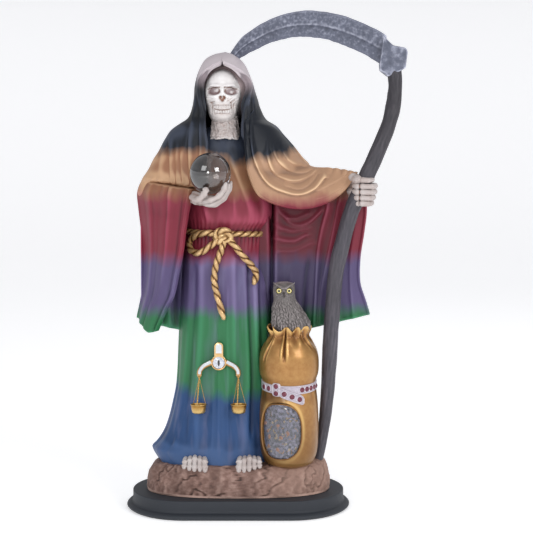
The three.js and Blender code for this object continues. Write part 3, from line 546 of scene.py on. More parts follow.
def airbrushed(red_top=257, climb=0.0, crest_tint=0.7, gold=(0.32, "#84503c")):
    """Acrylic paint sprayed on cast resin: satin, with soft bands, darker tones in the folds' hollows and pale
    strokes along their crests, which are partly the airbrushing's own and partly painted shade and painted
    highlight. climb is how steeply the black's lower edge rises to both sides of the figure's middle, and gold a
    tint for the gold band, after its share."""
    material, tree, shader = new_material()
    place = node(tree, "TexCoord", out="Object")
    across, _, up = node(tree, "SeparateXYZ", {0: place}).node.outputs
    cloud = node(tree, "TexNoise", {"Vector": place, "Scale": 38.0, "Detail": 2.0})
    narrow = node(tree, "VectorMath", {0: place, 1: (1, 1, 0.12)}, operation="MULTIPLY")
    streak = node(tree, "TexNoise", {"Vector": narrow, "Scale": 130.0, "Detail": 2.0})
    fine = node(tree, "TexNoise", {"Vector": place, "Scale": 1400.0, "Detail": 3.0})
    relief = node(tree, "Attribute", attribute_name="relief", out="Fac")

    # The bands' edges drift, run along the folds, climb at the shoulders and sink at the robe's middle.
    drift, run = (node(tree, "MapRange", {"Value": noise_value, "To Min": -0.006, "To Max": 0.006})
                  for noise_value in (cloud, streak))
    shoulders = node(tree, "MapRange", {"Value": up, "From Min": 0.262, "From Max": 0.285, "To Max": climb})
    aside = across
    for operation, amount in (("SUBTRACT", 0.006), ("ABSOLUTE", 0.0), ("MINIMUM", 0.042), ("MULTIPLY", shoulders)):
        aside = node(tree, "Math", {0: aside, 1: amount}, operation=operation)
    height = up
    for operation, amount in (("ADD", drift), ("ADD", run), ("SUBTRACT", aside)):
        height = node(tree, "Math", {0: height, 1: amount}, operation=operation)
    inwards = node(tree, "MapRange", {"Value": across, "From Min": -0.05, "From Max": -0.014, "To Max": 0.008})
    knees = node(tree, "MapRange", {"Value": up, "From Min": 0.14, "From Max": 0.12})
    height = node(tree, "Math", {0: inwards, 1: knees, 2: height}, operation="MULTIPLY_ADD")
    level = node(tree, "MapRange", {"Value": height, "From Max": BANDS_TOP * MILLIMETRE})

    # Over the plain bands go their darker tones in hollows and paler tones on crests, partly the airbrushing's own
    # and partly painted shade and painted highlight, and pale lilac streaks below the waist, a painted sheen.
    deep = node(tree, "MapRange", {"Value": relief, "From Min": 0.12, "From Max": 0.5, "To Min": 0.85,
                                   "To Max": 0.0}, interpolation_type="SMOOTHSTEP")
    high = node(tree, "MapRange", {"Value": relief, "From Min": 0.55, "From Max": 0.95,
                                   "To Max": crest_tint}, interpolation_type="SMOOTHSTEP")
    # Pale lilac streaks below the waist: a painted sheen of the satin paint.
    dust = node(tree, "MapRange", {"Value": streak, "From Min": 0.52, "From Max": 0.7, "To Max": 0.24})
    below = node(tree, "MapRange", {"Value": up, "From Min": 0.215, "From Max": 0.19})
    dust = node(tree, "Math", {0: dust, 1: below}, operation="MULTIPLY")
    hollows, sprayed, crests = (band_ramp(tree, level, tone, red_top, gold) for tone in range(3))
    for share, coat in ((deep, hollows), (high, crests), (dust, (*linear("#7c7c9c"), 1))):
        sprayed = node(tree, "Mix", {0: share, 6: sprayed, 7: coat}, out=2, data_type="RGBA")
    set_inputs(tree, shader, {
        "Base Color": sprayed,
        "Roughness": node(tree, "MapRange", {"Value": cloud, "To Min": 0.4, "To Max": 0.55}),
        "Normal": node(tree, "Bump", {"Height": fine, "Strength": 0.12, "Distance": 0.2 * MILLIMETRE}),
        "Specular IOR Level": 0.3, "Coat Weight": 0.04, "Coat Roughness": 0.35})
    return material


def painted_cloth():
    """Robe, cloak and hood in their sprayed bands, with the hem shaded."""
    return overcoated(airbrushed(climb=0.24), BLACK, 2, (68, 50), (0.0, 0.26))


def painted_flap():
    """The flap's gold, paler than on the robe, with red only along its hem."""
    return airbrushed(red_top=255, climb=0.26, crest_tint=0.8, gold=(0.16, "#efd2b4"))


def painted_sleeves():
    """The sleeves' bands, as on the robe, with a browner gold."""
    return airbrushed(gold=(0.62, "#7c4834"))


def painted_drape():
    """The bands of the wide sleeve under the flap, with a painted shade that darkens them towards the body, where
    the flap shades the sleeve.
    """
    # Painted shade: nearly half black at 58 mm across, fading to almost none at 92 mm.
    return overcoated(airbrushed(), BLACK, 0, (58, 92), (0.46, 0.03))


def bone_resin(paler=0.0, wash=0.0, low=None, stops=(0.12, 0.5, 0.9)):
    """Off-white resin, matt, with a brown wash wiped off its crests and left in its hollows."""
    body = tinted(paint("bone"), paler, WHITE)
    tones = (tinted(paint("bone_wash"), wash, body), body, tinted(body, 0.3, WHITE))
    return worked(tones, 1.1, 0.3, 0.5, stops=stops, wash=low)


def hood_lining():
    """Mauve paint inside the hood, paler than the hood's own paint as painted light on a hollow that the hood
    shades, which darkens to black behind the neck as painted shade.
    """
    # Pale body tone: painted light. The wash below 346 mm: painted shade.
    return worked(("#120f13", "#a18a8b", "#c0b0b1"), 2.2, 0.1, 0.55, wash=(346, 320, 0.96))


def skull_resin():
    """The skull's resin: paler than the hands, partly in its own paint and partly as painted light where the hood
    shades it; darker towards the chin as painted shade; with a mauve-brown coat in its eye sockets, partly a wash
    and partly painted shade.
    """
    # Paler body: partly painted light. Darker from 341 mm down to the chin: painted shade.
    material = bone_resin(0.76, 0.0, (341, 323, 0.24), (0.24, 0.48, 0.86))
    tree = material.node_tree
    stretch = (1, 0, 1.7)
    # The mauve-brown coat in the eye sockets, partly a wash and partly painted shade, kept thinner on the
    # eyeballs.
    wash = node(tree, "MapRange", {"Value": off_spots(tree, SOCKETS, stretch), "From Min": 0.0038,
                                   "From Max": 0.0062, "To Min": 0.85, "To Max": 0.0})
    bare = node(tree, "MapRange", {"Value": off_spots(tree, EYES, stretch), "From Min": 0.0014,
                                   "From Max": 0.0027, "To Min": 0.42})
    return coated(material, "#7d686a", node(tree, "Math", {0: wash, 1: bare}, operation="MULTIPLY"))


def neck_resin():
    """The neck's resin, with a faint mauve wash between its crumbs."""
    return bone_resin(0.32, 0.12)


def toe_resin():
    """The toes' resin: bare crests with brown left between the joints."""
    return bone_resin(0.05, stops=(0.4, 0.62, 0.86))


def gilt_rope():
    """Gold paint over carved strands, bright on their crests and dark brown between them, partly the gilding's own
    and partly painted highlight and painted shade.
    """
    return worked(("#2e1906", paint("rope"), "#e3c08c"), 0.7, 0.2, 0.28, metallic=0.4, stops=(0.34, 0.6, 0.93))


def rock_resin():
    """Brown resin rock, matt and pitted, with dark cracks and dry-brushed pinkish edges, and paler towards its
    right as painted light.
    """
    material = worked(("#33221d", paint("rock"), "#b5978b"), 1.7, 1.0, 0.74, mottle=0.6)
    # Painted light: a pale coat that grows towards the rock's right.
    return overcoated(material, "#c09c8a", 0, (5, 50), (0.0, 0.3))


def bag_gold():
    """Antique gold paint on smooth resin: satin, with brown in the pleats, partly wash and partly painted shade,
    darker towards the bottom as painted shade, and a painted shadow of the strap over the window.
    """
    brown = "#5d3a17"
    # The wash below 92 mm is a painted shade.
    material = worked((brown, paint("bag"), "#d6ad6c"), 3.4, 0.05, 0.36, mottle=0.1, metallic=0.58, coat=0.2,
                      stops=(0.1, 0.5, 0.94), wash=(92, 45, 0.55))
    # A painted shadow of the strap, in brown, over the top of the window.
    over_window = off_spots(material.node_tree, [(31, 0, 96)], (1, 0, 2))
    painted_strap_shadow = node(material.node_tree, "MapRange", {"Value": over_window, "From Min": 0.006, "From Max": 0.017,
                                                 "To Min": 0.8, "To Max": 0.0}, interpolation_type="SMOOTHSTEP")
    return coated(material, brown, painted_strap_shadow)


def strap_silver():
    """Silver-white paint with a faint metal sheen and grey left along its edges."""
    return worked(("#6d6872", paint("strap"), (0.86, 0.84, 0.88)), 1.6, 0.04, 0.34, mottle=0.2, metallic=0.2)


def scythe_charcoal():
    """Charcoal paint over rough, long-grained resin, scuffed paler on its ridges, and darker up the shaft as
    painted shade.
    """
    body = tinted(paint("scythe"), 0.35, "#241a1b")
    # The wash from 190 mm up is a painted shade.
    return worked(("#19161a", body, "#716a72"), 1.3, 0.75, 0.55, stretch=(1, 1, 0.22), mottle=0.5,
                  wash=(190, 330, 0.6))


def blade_charcoal():
    """The same charcoal over a hammered, pitted surface without any grain."""
    return worked(("#2f3340", tinted(paint("scythe"), 0.2, "#9fa9c8"), "#c3c6d6"), 1.3, 0.8, 0.5, mottle=0.5)


def owl_feathers():
    """Grey-brown resin feathers, matt, with tan tips and a brown wash in patches."""
    return worked(("#3a3434", paint("owl"), "#a3999a"), 0.9, 0.6, 0.72, stretch=(1, 1, 0.3), mottle=0.5)


def lacquered_wood():
    """Blue-black lacquer on turned wood: glossy, with a little unevenness of the coats, and darker on the foot as
    painted shade in its cove.
    """
    body = paint("plinth")
    # The wash below 8.2 mm is a painted shade in the cove.
    return worked((tinted(body, 0.7), body, tinted(body, 0.1, WHITE)), 6.0, 0.05, 0.24, mottle=0.2, coat=0.05,
                  wash=(8.2, 6.8, 0.85))


def gilt_metal():
    """Polished gilt of a small cast charm."""
    return worked(("#6b431c", "#c2925a", "#e6c490"), 0.9, 0.08, 0.28, mottle=0.15, metallic=0.85)


def brass_pans():
    """Yellow brass of the pans and wires, a little darkened in its corners."""
    return worked(("#4a3010", "#ab7e3e", "#dcbc7c"), 0.9, 0.1, 0.32, mottle=0.2, metallic=0.85)


def white_enamel():
    """Glossy white enamel, filled level with its gilt rims."""
    return worked(("#8f959c", "#c9ced3", "#e4e7ea"), 1.5, 0.04, 0.16, mottle=0.1, coat=0.6)


def red_glass():
    """Dark red cut glass, backed with foil, so that it glints but isn't seen through, and paler pink on its
    facets' edges as a painted glint.
    """
    body = paint("stone")
    # The pink crest tone is a painted glint.
    return worked((tinted(body, 0.6), body, tinted(body, 0.25, (1, 0.4, 0.5))), 0.8, 0.03, 0.12,
                  metallic=0.25, coat=0.2, specular=0.3)


def horn_beak():
    """Dark horn, smooth and a little glossy."""
    return worked(("#1f1c1b", "#3a3432", "#6b625c"), 0.8, 0.1, 0.35)


def grey_filling():
    """Blue-grey resin set with silvery fibres and dust."""
    return worked(("#41443f", "#7a7885", "#b3afc8"), 3.4, 0.25, 0.4, mottle=0.9, metallic=0.1)


def amber_grains():
    """Yellow and tan grains, half clear."""
    return worked(("#7d6a55", "#b9a284", "#e2d6bd"), 0.8, 0.1, 0.35, mottle=0.7)


def orange_seeds():
    """Brown-orange seeds with a hard skin."""
    return worked(("#7a4a35", "#b98468", "#dcb79f"), 0.9, 0.1, 0.3, mottle=0.5)


def clear(roughness, ior, coat=0.0):
    """Clear glass or resin, with the faint waviness of a cast surface."""
    material, tree, shader = new_material()
    wave = node(tree, "TexNoise", {"Vector": node(tree, "TexCoord", out="Object"), "Scale": 90.0, "Detail": 1.0})
    set_inputs(tree, shader, {
        "Base Color": (0.97, 0.98, 1, 1), "Transmission Weight": 1.0, "Roughness": roughness, "IOR": ior,
        "Normal": node(tree, "Bump", {"Height": wave, "Strength": 0.03, "Distance": 0.3 * MILLIMETRE}),
        "Coat Weight": coat, "Coat IOR": 1.8, "Coat Roughness": 0.02})
    return material


def ball_glass():
    """Solid polished glass, which turns what stands behind it upside down, tinted dark on its left, with a brown
    band across its middle, and pale on its right: a painted shade and a painted refraction of the dark robe behind
    it."""
    material = clear(0.0, 1.5, coat=1.0)
    tree = material.node_tree
    x = node(tree, "SeparateXYZ", {0: node(tree, "TexCoord", out="Object")})
    across = node(tree, "MapRange", {"Value": x, "From Min": -0.037, "From Max": -0.005})
    # Painted shade and painted refraction: dark on the left, a brown band, pale on the right.
    painted_refraction = node(tree, "ValToRGB", {"Fac": across},
                 [(0.1, "#202328"), (0.8, "#ffffff"), (0.42, "#322a24"), (0.58, "#d8d0cd")])
    set_inputs(tree, tree.nodes["Principled BSDF"], {"Base Color": painted_refraction})
    return material


def window_resin():
    """Clear casting resin, with the slight haze of its domed top."""
    return clear(0.04, 1.46)


def cat_eye():
    """A pearl-grey cabochon with a black slit pupil and paler rays round it."""
    material, tree, shader = new_material()
    middle = beam_place(0, 0, BEAM) + Vector((0, 0, SEAT_GAP))
    place = node(tree, "TexCoord", out="Object")
    own = node(tree, "VectorMath", {0: place, 1: tuple(middle * MILLIMETRE)}, operation="SUBTRACT")
    rays = node(tree, "TexNoise", {"Vector": own, "Scale": 900.0, "Detail": 3.0})
    glow = node(tree, "ValToRGB", {"Fac": rays}, [(0.3, "#9aa0b0"), (0.7, "#eceef4")])
    reach = off_spots(tree, [middle], (1 / 0.00095, 0, 1 / 0.0027))
    slit = node(tree, "MapRange", {"Value": reach, "From Min": 0.85, "From Max": 1.1})
    eye = node(tree, "Mix", {0: slit, 6: (0.004, 0.004, 0.006, 1), 7: glow}, out=2, data_type="RGBA")
    set_inputs(tree, shader, {"Base Color": eye, "Roughness": 0.12, "Coat Weight": 0.8})
    return material


def owl_eye():
    """Glossy painted eyes: a yellow ring round a black pupil, in a black socket."""
    material, tree, shader = new_material()
    pupil, socket = (0.005, 0.005, 0.005), (0.01, 0.01, 0.012)
    near = off_spots(tree, [(x, y, z + SEAT_GAP) for x, y, z in OWL_EYES], (1, 0, 1))
    share = node(tree, "MapRange", {"Value": near, "From Max": 0.0027})
    ring = node(tree, "ValToRGB", {"Fac": share}, [(0.0, pupil), (1.0, socket), (0.34, pupil), (0.4, "#e3d998"),
                                                   (0.66, "#cdbb66"), (0.76, socket)])
    set_inputs(tree, shader, {"Base Color": ring, "Roughness": 0.15, "Coat Weight": 0.7})
    return material


def studio_paint():
    """Matt white studio paper with a faint fibre, lit from behind so that it stays white."""
    material, tree, shader = new_material()
    fibre = node(tree, "TexNoise", {"Vector": node(tree, "TexCoord", out="Object"), "Scale": 300.0, "Detail": 4.0})
    body = paint("floor")
    tone = node(tree, "ValToRGB", {"Fac": fibre}, [(0.3, tinted(body, 0.02)), (0.7, body)])
    set_inputs(tree, shader, {"Base Color": tone, "Roughness": 0.8, "Emission Color": (*WHITE, 1),
                              "Emission Strength": 0.4})
    return material


# The robe and the cloak, each as how far it reaches left, right, front and back by height.

ROBE = (
    track((34, -62), (48, -70), (53, -66), (58, -62.4), (64, -59.2), (72, -56.4), (82, -53.8), (102, -50),
          (144, -48), (200, -45), (226, -42), (250, -45), (285, -44), (303, -34), (314, -22)),
    track((34, 32), (48, 30), (82, 26), (122, 27.5), (150, 28), (174, 26.6), (200, 22), (222, 21), (229, 22),
          (236, 26.4), (248, 27.4), (260, 25.2), (285, 20), (303, 10), (314, -2)),
    track((34, -36), (48, -34), (82, -30), (122, -28), (200, -27), (226, -23), (238, -26), (285, -25),
          (303, -20), (314, -14)),
    track((34, 40), (82, 36), (200, 31), (226, 28), (285, 26), (314, 16)),
)
CLOAK = (
    track((150, -52), (205, -50), (232, -58), (248, -77), (258, -83), (263, -82.4), (269, -79), (278, -73),
          (286, -69), (292, -65), (303, -59), (310, -54), (315, -47), (319, -41), (325, -38), (334, -36),
          (346, -35), (357, -32), (367, -26), (371, -19), (373, -12)),
    track((150, 31), (205, 32), (240, 44), (262, 56), (281, 58), (288, 52), (297, 45), (306, 37), (313, 31),
          (318, 23), (327, 18), (334, 16), (343, 13), (356, 9), (365, 4), (371, -4), (373, -8)),
    track((150, 6), (215, 2), (236, -6), (250, -22), (262, -29), (285, -31), (303, -29), (320, -26),
          (346, -26), (360, -22), (368, -14), (373, 0)),
    track((150, 44), (200, 39), (250, 35), (290, 33), (312, 28), (330, 27), (346, 28), (357, 25), (367, 16),
          (373, 6)),
)
OPENING_LEFT = track((226, -56), (252, -74), (259, -70), (262, -52), (265, -31), (272, -29), (294, -24),
                     (302, -24.4), (309, -25.6), (321, -26.8), (334, -29), (343, -30.4), (350, -29.8),
                     (357, -25.2), (362, -17), (364, -12))
OPENING_RIGHT = track((226, 42), (257, 34), (274, 20), (288, 12), (298, 8), (306, 4), (325, 5.6), (342, 8.6),
                      (350, 7.2), (357, 0.6), (362, -7.6), (364, -12))
HOOD_PEAK = 364
HOOD_SEAM = -12
CLOAK_HEM = 150
CLOAK_TOP = 372.5
BELT = 226
NEARLY_SIDE = 0.99  # how far over a form's half width its face is followed


def oval_point(outline, turn, z, swell):
    """A point of an outline's oval at a height, which swells by a few millimetres."""
    left, right, front, back = (reach(z) for reach in outline)
    a, b = (right - left) / 2 + swell, (back - front) / 2 + swell
    return (left + right) / 2 + a * math.cos(turn), (front + back) / 2 + b * math.sin(turn), z


def place_across(outline, turn, z):
    """How far to the right the oval's point is, without its folds."""
    left, right = outline[0](z), outline[1](z)
    return (left + right) / 2 + (right - left) / 2 * math.cos(turn)


def face_of(outline, x, z):
    """The oval's face towards the viewer, without its folds, at a place across it."""
    left, right, front, back = (reach(z) for reach in outline)
    across = bounded((x - (left + right) / 2) / ((right - left) / 2), -NEARLY_SIDE, NEARLY_SIDE)
    return (front + back) / 2 - (back - front) / 2 * math.sqrt(1 - across * across)


# Folds of the robe's front, each as its place by height: a crest if it stands out, a groove if not.
ROBE_FOLDS = (
    (track((236, -23.5), (250, -27)), 1.5, 232, 254, 1.0, 2.6),
    (track((240, 9.5), (250, 7.3), (283, -4.8)), 1.3, 236, 296, 1.2, 4.5),
    (track((238, 21), (252, 19.5), (281, 8.3)), 1.2, 234, 290, 1.3, 5),
    (track((236, -3.2), (255, -3.5)), 0.7, 233, 262, 0.7, 2.0),
    (track((232, -14), (262, -15)), 0.6, 230, 262, 2.4, 3.5),
    (track((60, -16.5), (165, -15)), 0.5, 46, 200, 0.7, 0.9),
    (track((60, -21.5), (190, -18.5)), 0.45, 46, 222, 0.8, 1.2),
    (track((60, -8.5), (165, -8)), 0.5, 46, 190, 0.8, 1.6),
    (track((60, -33), (165, -30)), 0.9, 44, 210, 2.8, 3.6),
    (track((60, -50), (110, -42), (210, -38)), 0.9, 44, 218, 2.0, 3.2),
    (track((60, -1.5), (200, -3)), 0.8, 44, 216, 2.6, 2.2),
    (track((60, 11), (120, 12), (190, 10)), -2.4, 56, 214, 1.9, 2.1),
    (track((110, 21.5), (190, 19)), -1.6, 96, 222, 1.6, 1.6),
    (track((60, 17.5), (190, 15)), 0.7, 50, 214, 2.0, 2.0),
    (track((60, -41), (190, -34.5)), -0.7, 50, 205, 1.6, 1.6),
)


def robe_folds(turn, z):
    """Soft pleats round the back, drawn folds across the front, and gathers at the belt."""
    behind = ease(math.sin(turn) * 1.6 + 0.45)
    depth = mix(2.0, 0.8, ease((z - 60) / 160)) * (1 - 0.6 * bell(z - BELT, 8))
    phase = 12 * turn + 1.1 * math.sin(2 * turn + 1) + 0.5 * math.sin(z / 40)
    x, y = math.cos(turn) * 42, math.sin(turn) * 34
    lean = 2.2 * grain(x, y, z * 0.25, 30)
    fine = pleat(27 * turn + 4 * lean + z / 55) * (0.3 + 0.4 * ease((150 - z) / 110))
    gathers = 0.35 * math.cos(46 * turn + 3 * lean) * (bell(z - BELT + 5, 7) + 0.6 * bell(z - BELT - 6, 6))
    out = mix(0.32, 1, behind) * depth * pleat(phase) + mix(0.18, 0.75, behind) * fine + gathers
    if behind < 1:
        out += (1 - behind) * fold_table(ROBE_FOLDS, z, place_across(ROBE, turn, z) + 0.5 * lean, 14)
    return out


def robe_point(turn, z, swell=0.0):
    return oval_point(ROBE, turn, z, robe_folds(turn, z) + swell)


def make_robe(form):
    loft(form, 320, spread(34, 312, 215), robe_point)


def cloak_edges(z):
    """The turns at which the cloak's right and left front edges stand at a height."""
    left, right = CLOAK[0](z), CLOAK[1](z)
    places = (HOOD_SEAM, HOOD_SEAM) if z >= HOOD_PEAK else (OPENING_RIGHT(z), OPENING_LEFT(z))
    shares = ((place - (left + right) / 2) / ((right - left) / 2) for place in places)
    from_right, from_left = (math.acos(bounded(share, -NEARLY_SIDE, NEARLY_SIDE)) for share in shares)
    return -from_right, FULL_TURN - from_left


# Folds of the cloak's front, from the hood down over the shoulder of the bent arm.
CLOAK_FOLDS = (
    (track((264, -52.4), (300, -54.2)), 1.3, 256, 312, 0.6, 1.5),
    (track((264, -47.8), (296, -48.8)), 0.9, 256, 304, 0.7, 1.3),
    (track((262, -42), (272, -43.6), (290, -45)), 1.1, 254, 300, 0.6, 1.4),
    (track((261, -35), (272, -37), (300, -37.8), (330, -33)), 1.6, 254, 345, 0.7, 2.2),
    (track((266, -63), (292, -60)), 0.7, 258, 304, 1.6, 2.6),
    (track((285, -29.5), (330, -29.5)), 0.9, 280, 350, 0.8, 1.4),
    (track((285, -45), (325, -33.5)), 0.7, 284, 342, 1.4, 1.8),
    (track((285, 12), (304, 9.9), (335, 8.5)), 1.3, 304, 352, 1.0, 1.6),
    (track((285, 19), (320, 14), (340, 11.5)), 1.1, 304, 352, 1.0, 2.2),
    (track((290, 28), (320, 17.5)), 0.8, 302, 332, 1.8, 3.0),
)


def cloak_folds(turn, z):
    """Deep folds down the back, drawn ones over the shoulders, and puckers where the arm lifts the hem."""
    hem = 2.4 * (1 - ease((z - CLOAK_HEM) / 190)) + 0.5
    crown = 1 - ease((z - 335) / 30)
    behind = ease(math.sin(turn) * 2 + 0.6)
    lean = 2 * grain(math.cos(turn) * 60, math.sin(turn) * 40, z * 0.3, 34)
    back = hem * behind * pleat(11 * turn + 0.7 * math.sin(3 * turn) + 0.5 * lean)
    back += 0.35 * hem * behind * pleat(25 * turn + 2 * lean)
    arm = bell(turn % FULL_TURN - math.radians(226), 0.5)
    out = 0.1 * arm * bell(z - 284, 19) * pleat(27 * turn + 1.5 * lean)
    place = place_across(CLOAK, turn, z)
    tuck = mix(269, 263, bounded((place + 76) / 38))
    out += arm * (1.1 * bell(z - tuck - 3, 2) * abs(math.cos(17 * turn + lean)) - 7 * ease((tuck + 2 - z) / 5))
    if behind < 1:
        out += (1 - behind) * fold_table(CLOAK_FOLDS, z, place + 0.3 * lean, 12)
    return crown * back + out


def cloak_point(across, z):
    """A point of the cloak's outer face, and how far the nearer front edge is from it."""
    low, high = cloak_edges(z)
    turn = mix(low, high, across)
    reach = (CLOAK[1](z) - CLOAK[0](z)) / 2
    from_right, from_left = (turn - low) * reach, (high - turn) * reach
    rolled = bell(from_right - 1.8, 1.4) + bell(from_left - 1.8, 1.4)
    rolled *= 0.9 * ease((z - 322) / 12) * (1 - ease((z - HOOD_PEAK + 1) / 3))
    lapped = 1.7 * (bell(from_right, 10) + bell(from_left, 0.4))
    lapped *= ease((z - 335) / 14) * (1 - ease((z - HOOD_PEAK - 2) / 6))
    point = oval_point(CLOAK, turn, z, cloak_folds(turn, z) + rolled + lapped)
    return Vector(point), min(from_right, from_left) if z < HOOD_PEAK else 99


def make_cloak(form):
    """The cloak and hood: an outer and an inner skin that meet in a round lip along their open edges."""
    thickness = size_of("cloth")
    top = Vector((-10, 3, CLOAK_TOP + 0.5))
    everything = []
    for inside in (False, True):
        for vertex, u, v in sheet_of_quads(form, 230, 178):
            everything.append(vertex)
            if v > 0.9999:
                vertex.co = top - Vector((0, 0, thickness * inside))
                continue
            z = mix(CLOAK_HEM, CLOAK_TOP, v)
            point, edge = cloak_point(crowded(u, 0.72), z)
            edge = min(edge, z - CLOAK_HEM)
            drop = lip_drop(edge, thickness / 2)
            deep = thickness - drop if inside else drop
            middle = Vector(((OPENING_LEFT(z) + OPENING_RIGHT(z)) / 2, 2, mix(z, 335, ease((z - 340) / 25))))
            vertex.co = point + (middle - point).normalized() * deep
            if inside:  # a lining that shows behind the hood's lip
                lining = 2.7 * ease((z - 316) / 14) * (1 - 0.8 * ease((z - 354) / 8)) * (z < HOOD_PEAK)
                lining *= ease(edge / 1.1) * (1 - ease((edge - 1.9) / 3.5))
                vertex.co += (Vector((-11, point.y + 1, 338)) - point).normalized() * lining
    tidy(form, everything, 1e-3)


# The sleeves.

FLAP_RIDGE = Course([(15, -6, 328), (24, -3, 317), (37, -2, 306), (47, -5, 295), (59, -10, 281),
                     (74, -15, 279), (87, -18, 277), (97, -20, 275)])
FLAP_HEM = Course([(5, -28.4, 315), (5.2, -30.4, 305), (5.8, -31.6, 294), (8.6, -33, 274), (17, -34, 257),
                   (29, -33, 250.3), (45, -31, 246.4), (61, -29, 247.2), (77, -27, 253.4), (88, -25, 263),
                   (94, -24, 272)])
# Swags of the flap and of the sleeve under it: their crests' height by place across, how far they stand
# out, and between which places.
FLAP_SWAGS = (
    (track((10, 303), (13, 287.6), (19, 274), (27.7, 264.3), (40, 259), (52, 258.3), (62, 263), (70, 271)),
     3.0, 7, 75),
    (track((38, 265.5), (49.7, 263), (58, 267), (65, 275)), 1.2, 36, 69),
    (track((22.8, 290), (27.7, 278), (37.5, 270.5), (49.7, 269.3), (59.5, 274), (66, 280)), 1.9, 20, 68),
    (track((27.7, 294), (32.6, 285), (42.4, 276.6), (54.6, 276.2), (62, 280)), 1.6, 25, 66),
    (track((35, 294), (42.4, 284.5), (52, 281), (60, 282)), 1.3, 32, 63),
    (track((64, 262), (78, 268), (90, 276)), 1.0, 60, 92),
    (track((62, 254), (76, 259), (88, 268)), 0.7, 58, 90),
)
SLEEVE_SWAGS = (
    (track((31, 245), (38.3, 239), (47.2, 237.3), (58.7, 241.5)), 1.2, 29, 62),
    (track((36.6, 240), (43.2, 233.4), (51.3, 232), (61, 236.5), (69, 244.5)), 1.5, 34, 72),
    (track((27.7, 232.5), (36.6, 229), (46.4, 227.4), (56, 229.5)), 1.6, 25, 62),
    (track((26.8, 222), (36.6, 219.3), (46.4, 219.3), (55, 223.5)), 1.9, 24, 61),
    (track((33, 210.5), (46, 211), (59.5, 217)), 1.0, 29, 66),
)


def make_flap(form):
    """The cloak's flap over the raised arm: swags that hang between the shoulder and the curved hem."""

    def face(u, v):
        low, high = FLAP_HEM.at(u), FLAP_RIDGE.at(u)
        fullness = 6 * math.sin(math.pi * v**0.8) * math.sin(math.pi * bounded(u * 1.05))
        hem = 0.8 * bell(v - 0.03, 0.02)
        wrist = ease((u - 0.62) / 0.2) * ease((v - 0.72) / 0.25)
        scallop = wrist * 1.1 * abs(math.cos(u * 44))
        x, y, z = low.lerp(high, v)
        z += 0.8 * scallop
        y = min(y - fullness, mix(y, face_of(CLOAK, x, z) - 1.6, ease((z - 262) / 14) * ease((62 - x) / 18)))
        swags = fold_table(FLAP_SWAGS, x, z + 0.8 * grain(x, 0, z, 14), 0.7, 3.6)
        crumple = 0.3 * grain(x, 0, z, 9) * ease(v * 6) + 1.4 * bell(x - 40, 6) * bell(z - 290, 7)
        return x, y - swags * (1 - ease((v - 0.93) / 0.07)) - hem - crumple - scallop, z

    slab(form, 250, 170, (120, 60), face, lambda u, v: (0, 3.2 + 16 * ease(v * 1.2)), 1.2)


HANG_EDGE = track((146, 109), (159, 108), (170, 105), (186, 100), (206, 100), (227, 103), (246, 105),
                  (262, 103), (272, 97))
# Long folds of the wide sleeve, each as its place by height.
SLEEVE_FOLDS = (
    (track((150, 61), (180, 62.7), (211, 64.4), (229, 67.6), (247, 72.5)), 1.8, 140, 262, 0.9, 3.2),
    (track((150, 66), (180, 67.6), (205, 72.5), (235, 79), (255, 83)), 1.4, 140, 266, 1.0, 3.4),
    (track((150, 80), (200, 84), (250, 93)), 1.2, 140, 262, 2.0, 3.6),
    (track((150, 95), (200, 92), (250, 98)), 1.3, 140, 262, 1.8, 3.2),
    (track((150, 52), (180, 54), (205, 57)), -1.5, 140, 212, 2.2, 2.6),
    (track((150, 42), (205, 44)), 0.7, 140, 204, 2.2, 3.0),
    (track((150, 31), (205, 30)), 0.8, 140, 215, 1.8, 2.6),
)


def make_hanging_sleeve(form):
    """The wide sleeve under the raised arm: small swags at its top left, then long upright folds."""

    def face(u, v):
        z = mix(mix(139, 159.5, u**1.15), mix(290, 268, u), v)
        x = mix(12, HANG_EDGE(z), u)
        lean = 2 * grain(x, 0, z * 0.25, 26)
        upright = fold_table(SLEEVE_FOLDS, z, x + 0.4 * lean, 14)
        swags = fold_table(SLEEVE_SWAGS, x, z + 0.6 * grain(x, 0, z, 9), 0.6, 2.6)
        hem = 0.8 * bell(v - 0.014, 0.01)
        edge = 1.2 * bell(u - 0.985, 0.012)
        soft = 0.5 * pleat(u * 27 + 0.6 + lean) * ease((u - 0.45) / 0.3)
        soft -= (4 + 6 * ease((z - 212) / 20)) * bell(x - 27.8, 1.7) * ease((z - 130) / 14)
        return x, -7 - (3 * u + 2 * math.sin(math.pi * v) + upright + swags + hem + edge + soft), z

    slab(form, 230, 180, (95, 130), face, lambda u, v: (0, mix(20, 10, u)), 1.3)


SLEEVE_OUTER = track((145, -84.5), (153, -84.3), (175, -80), (192, -78.6), (210, -78.6), (227, -80), (247, -82.4),
                     (258, -83), (264, -81), (269, -77))
SLEEVE_EDGE = track((145, -67), (165, -58), (177, -52), (194, -48), (214, -44), (230, -42), (250, -38.6),
                    (263, -35.6), (269, -36))


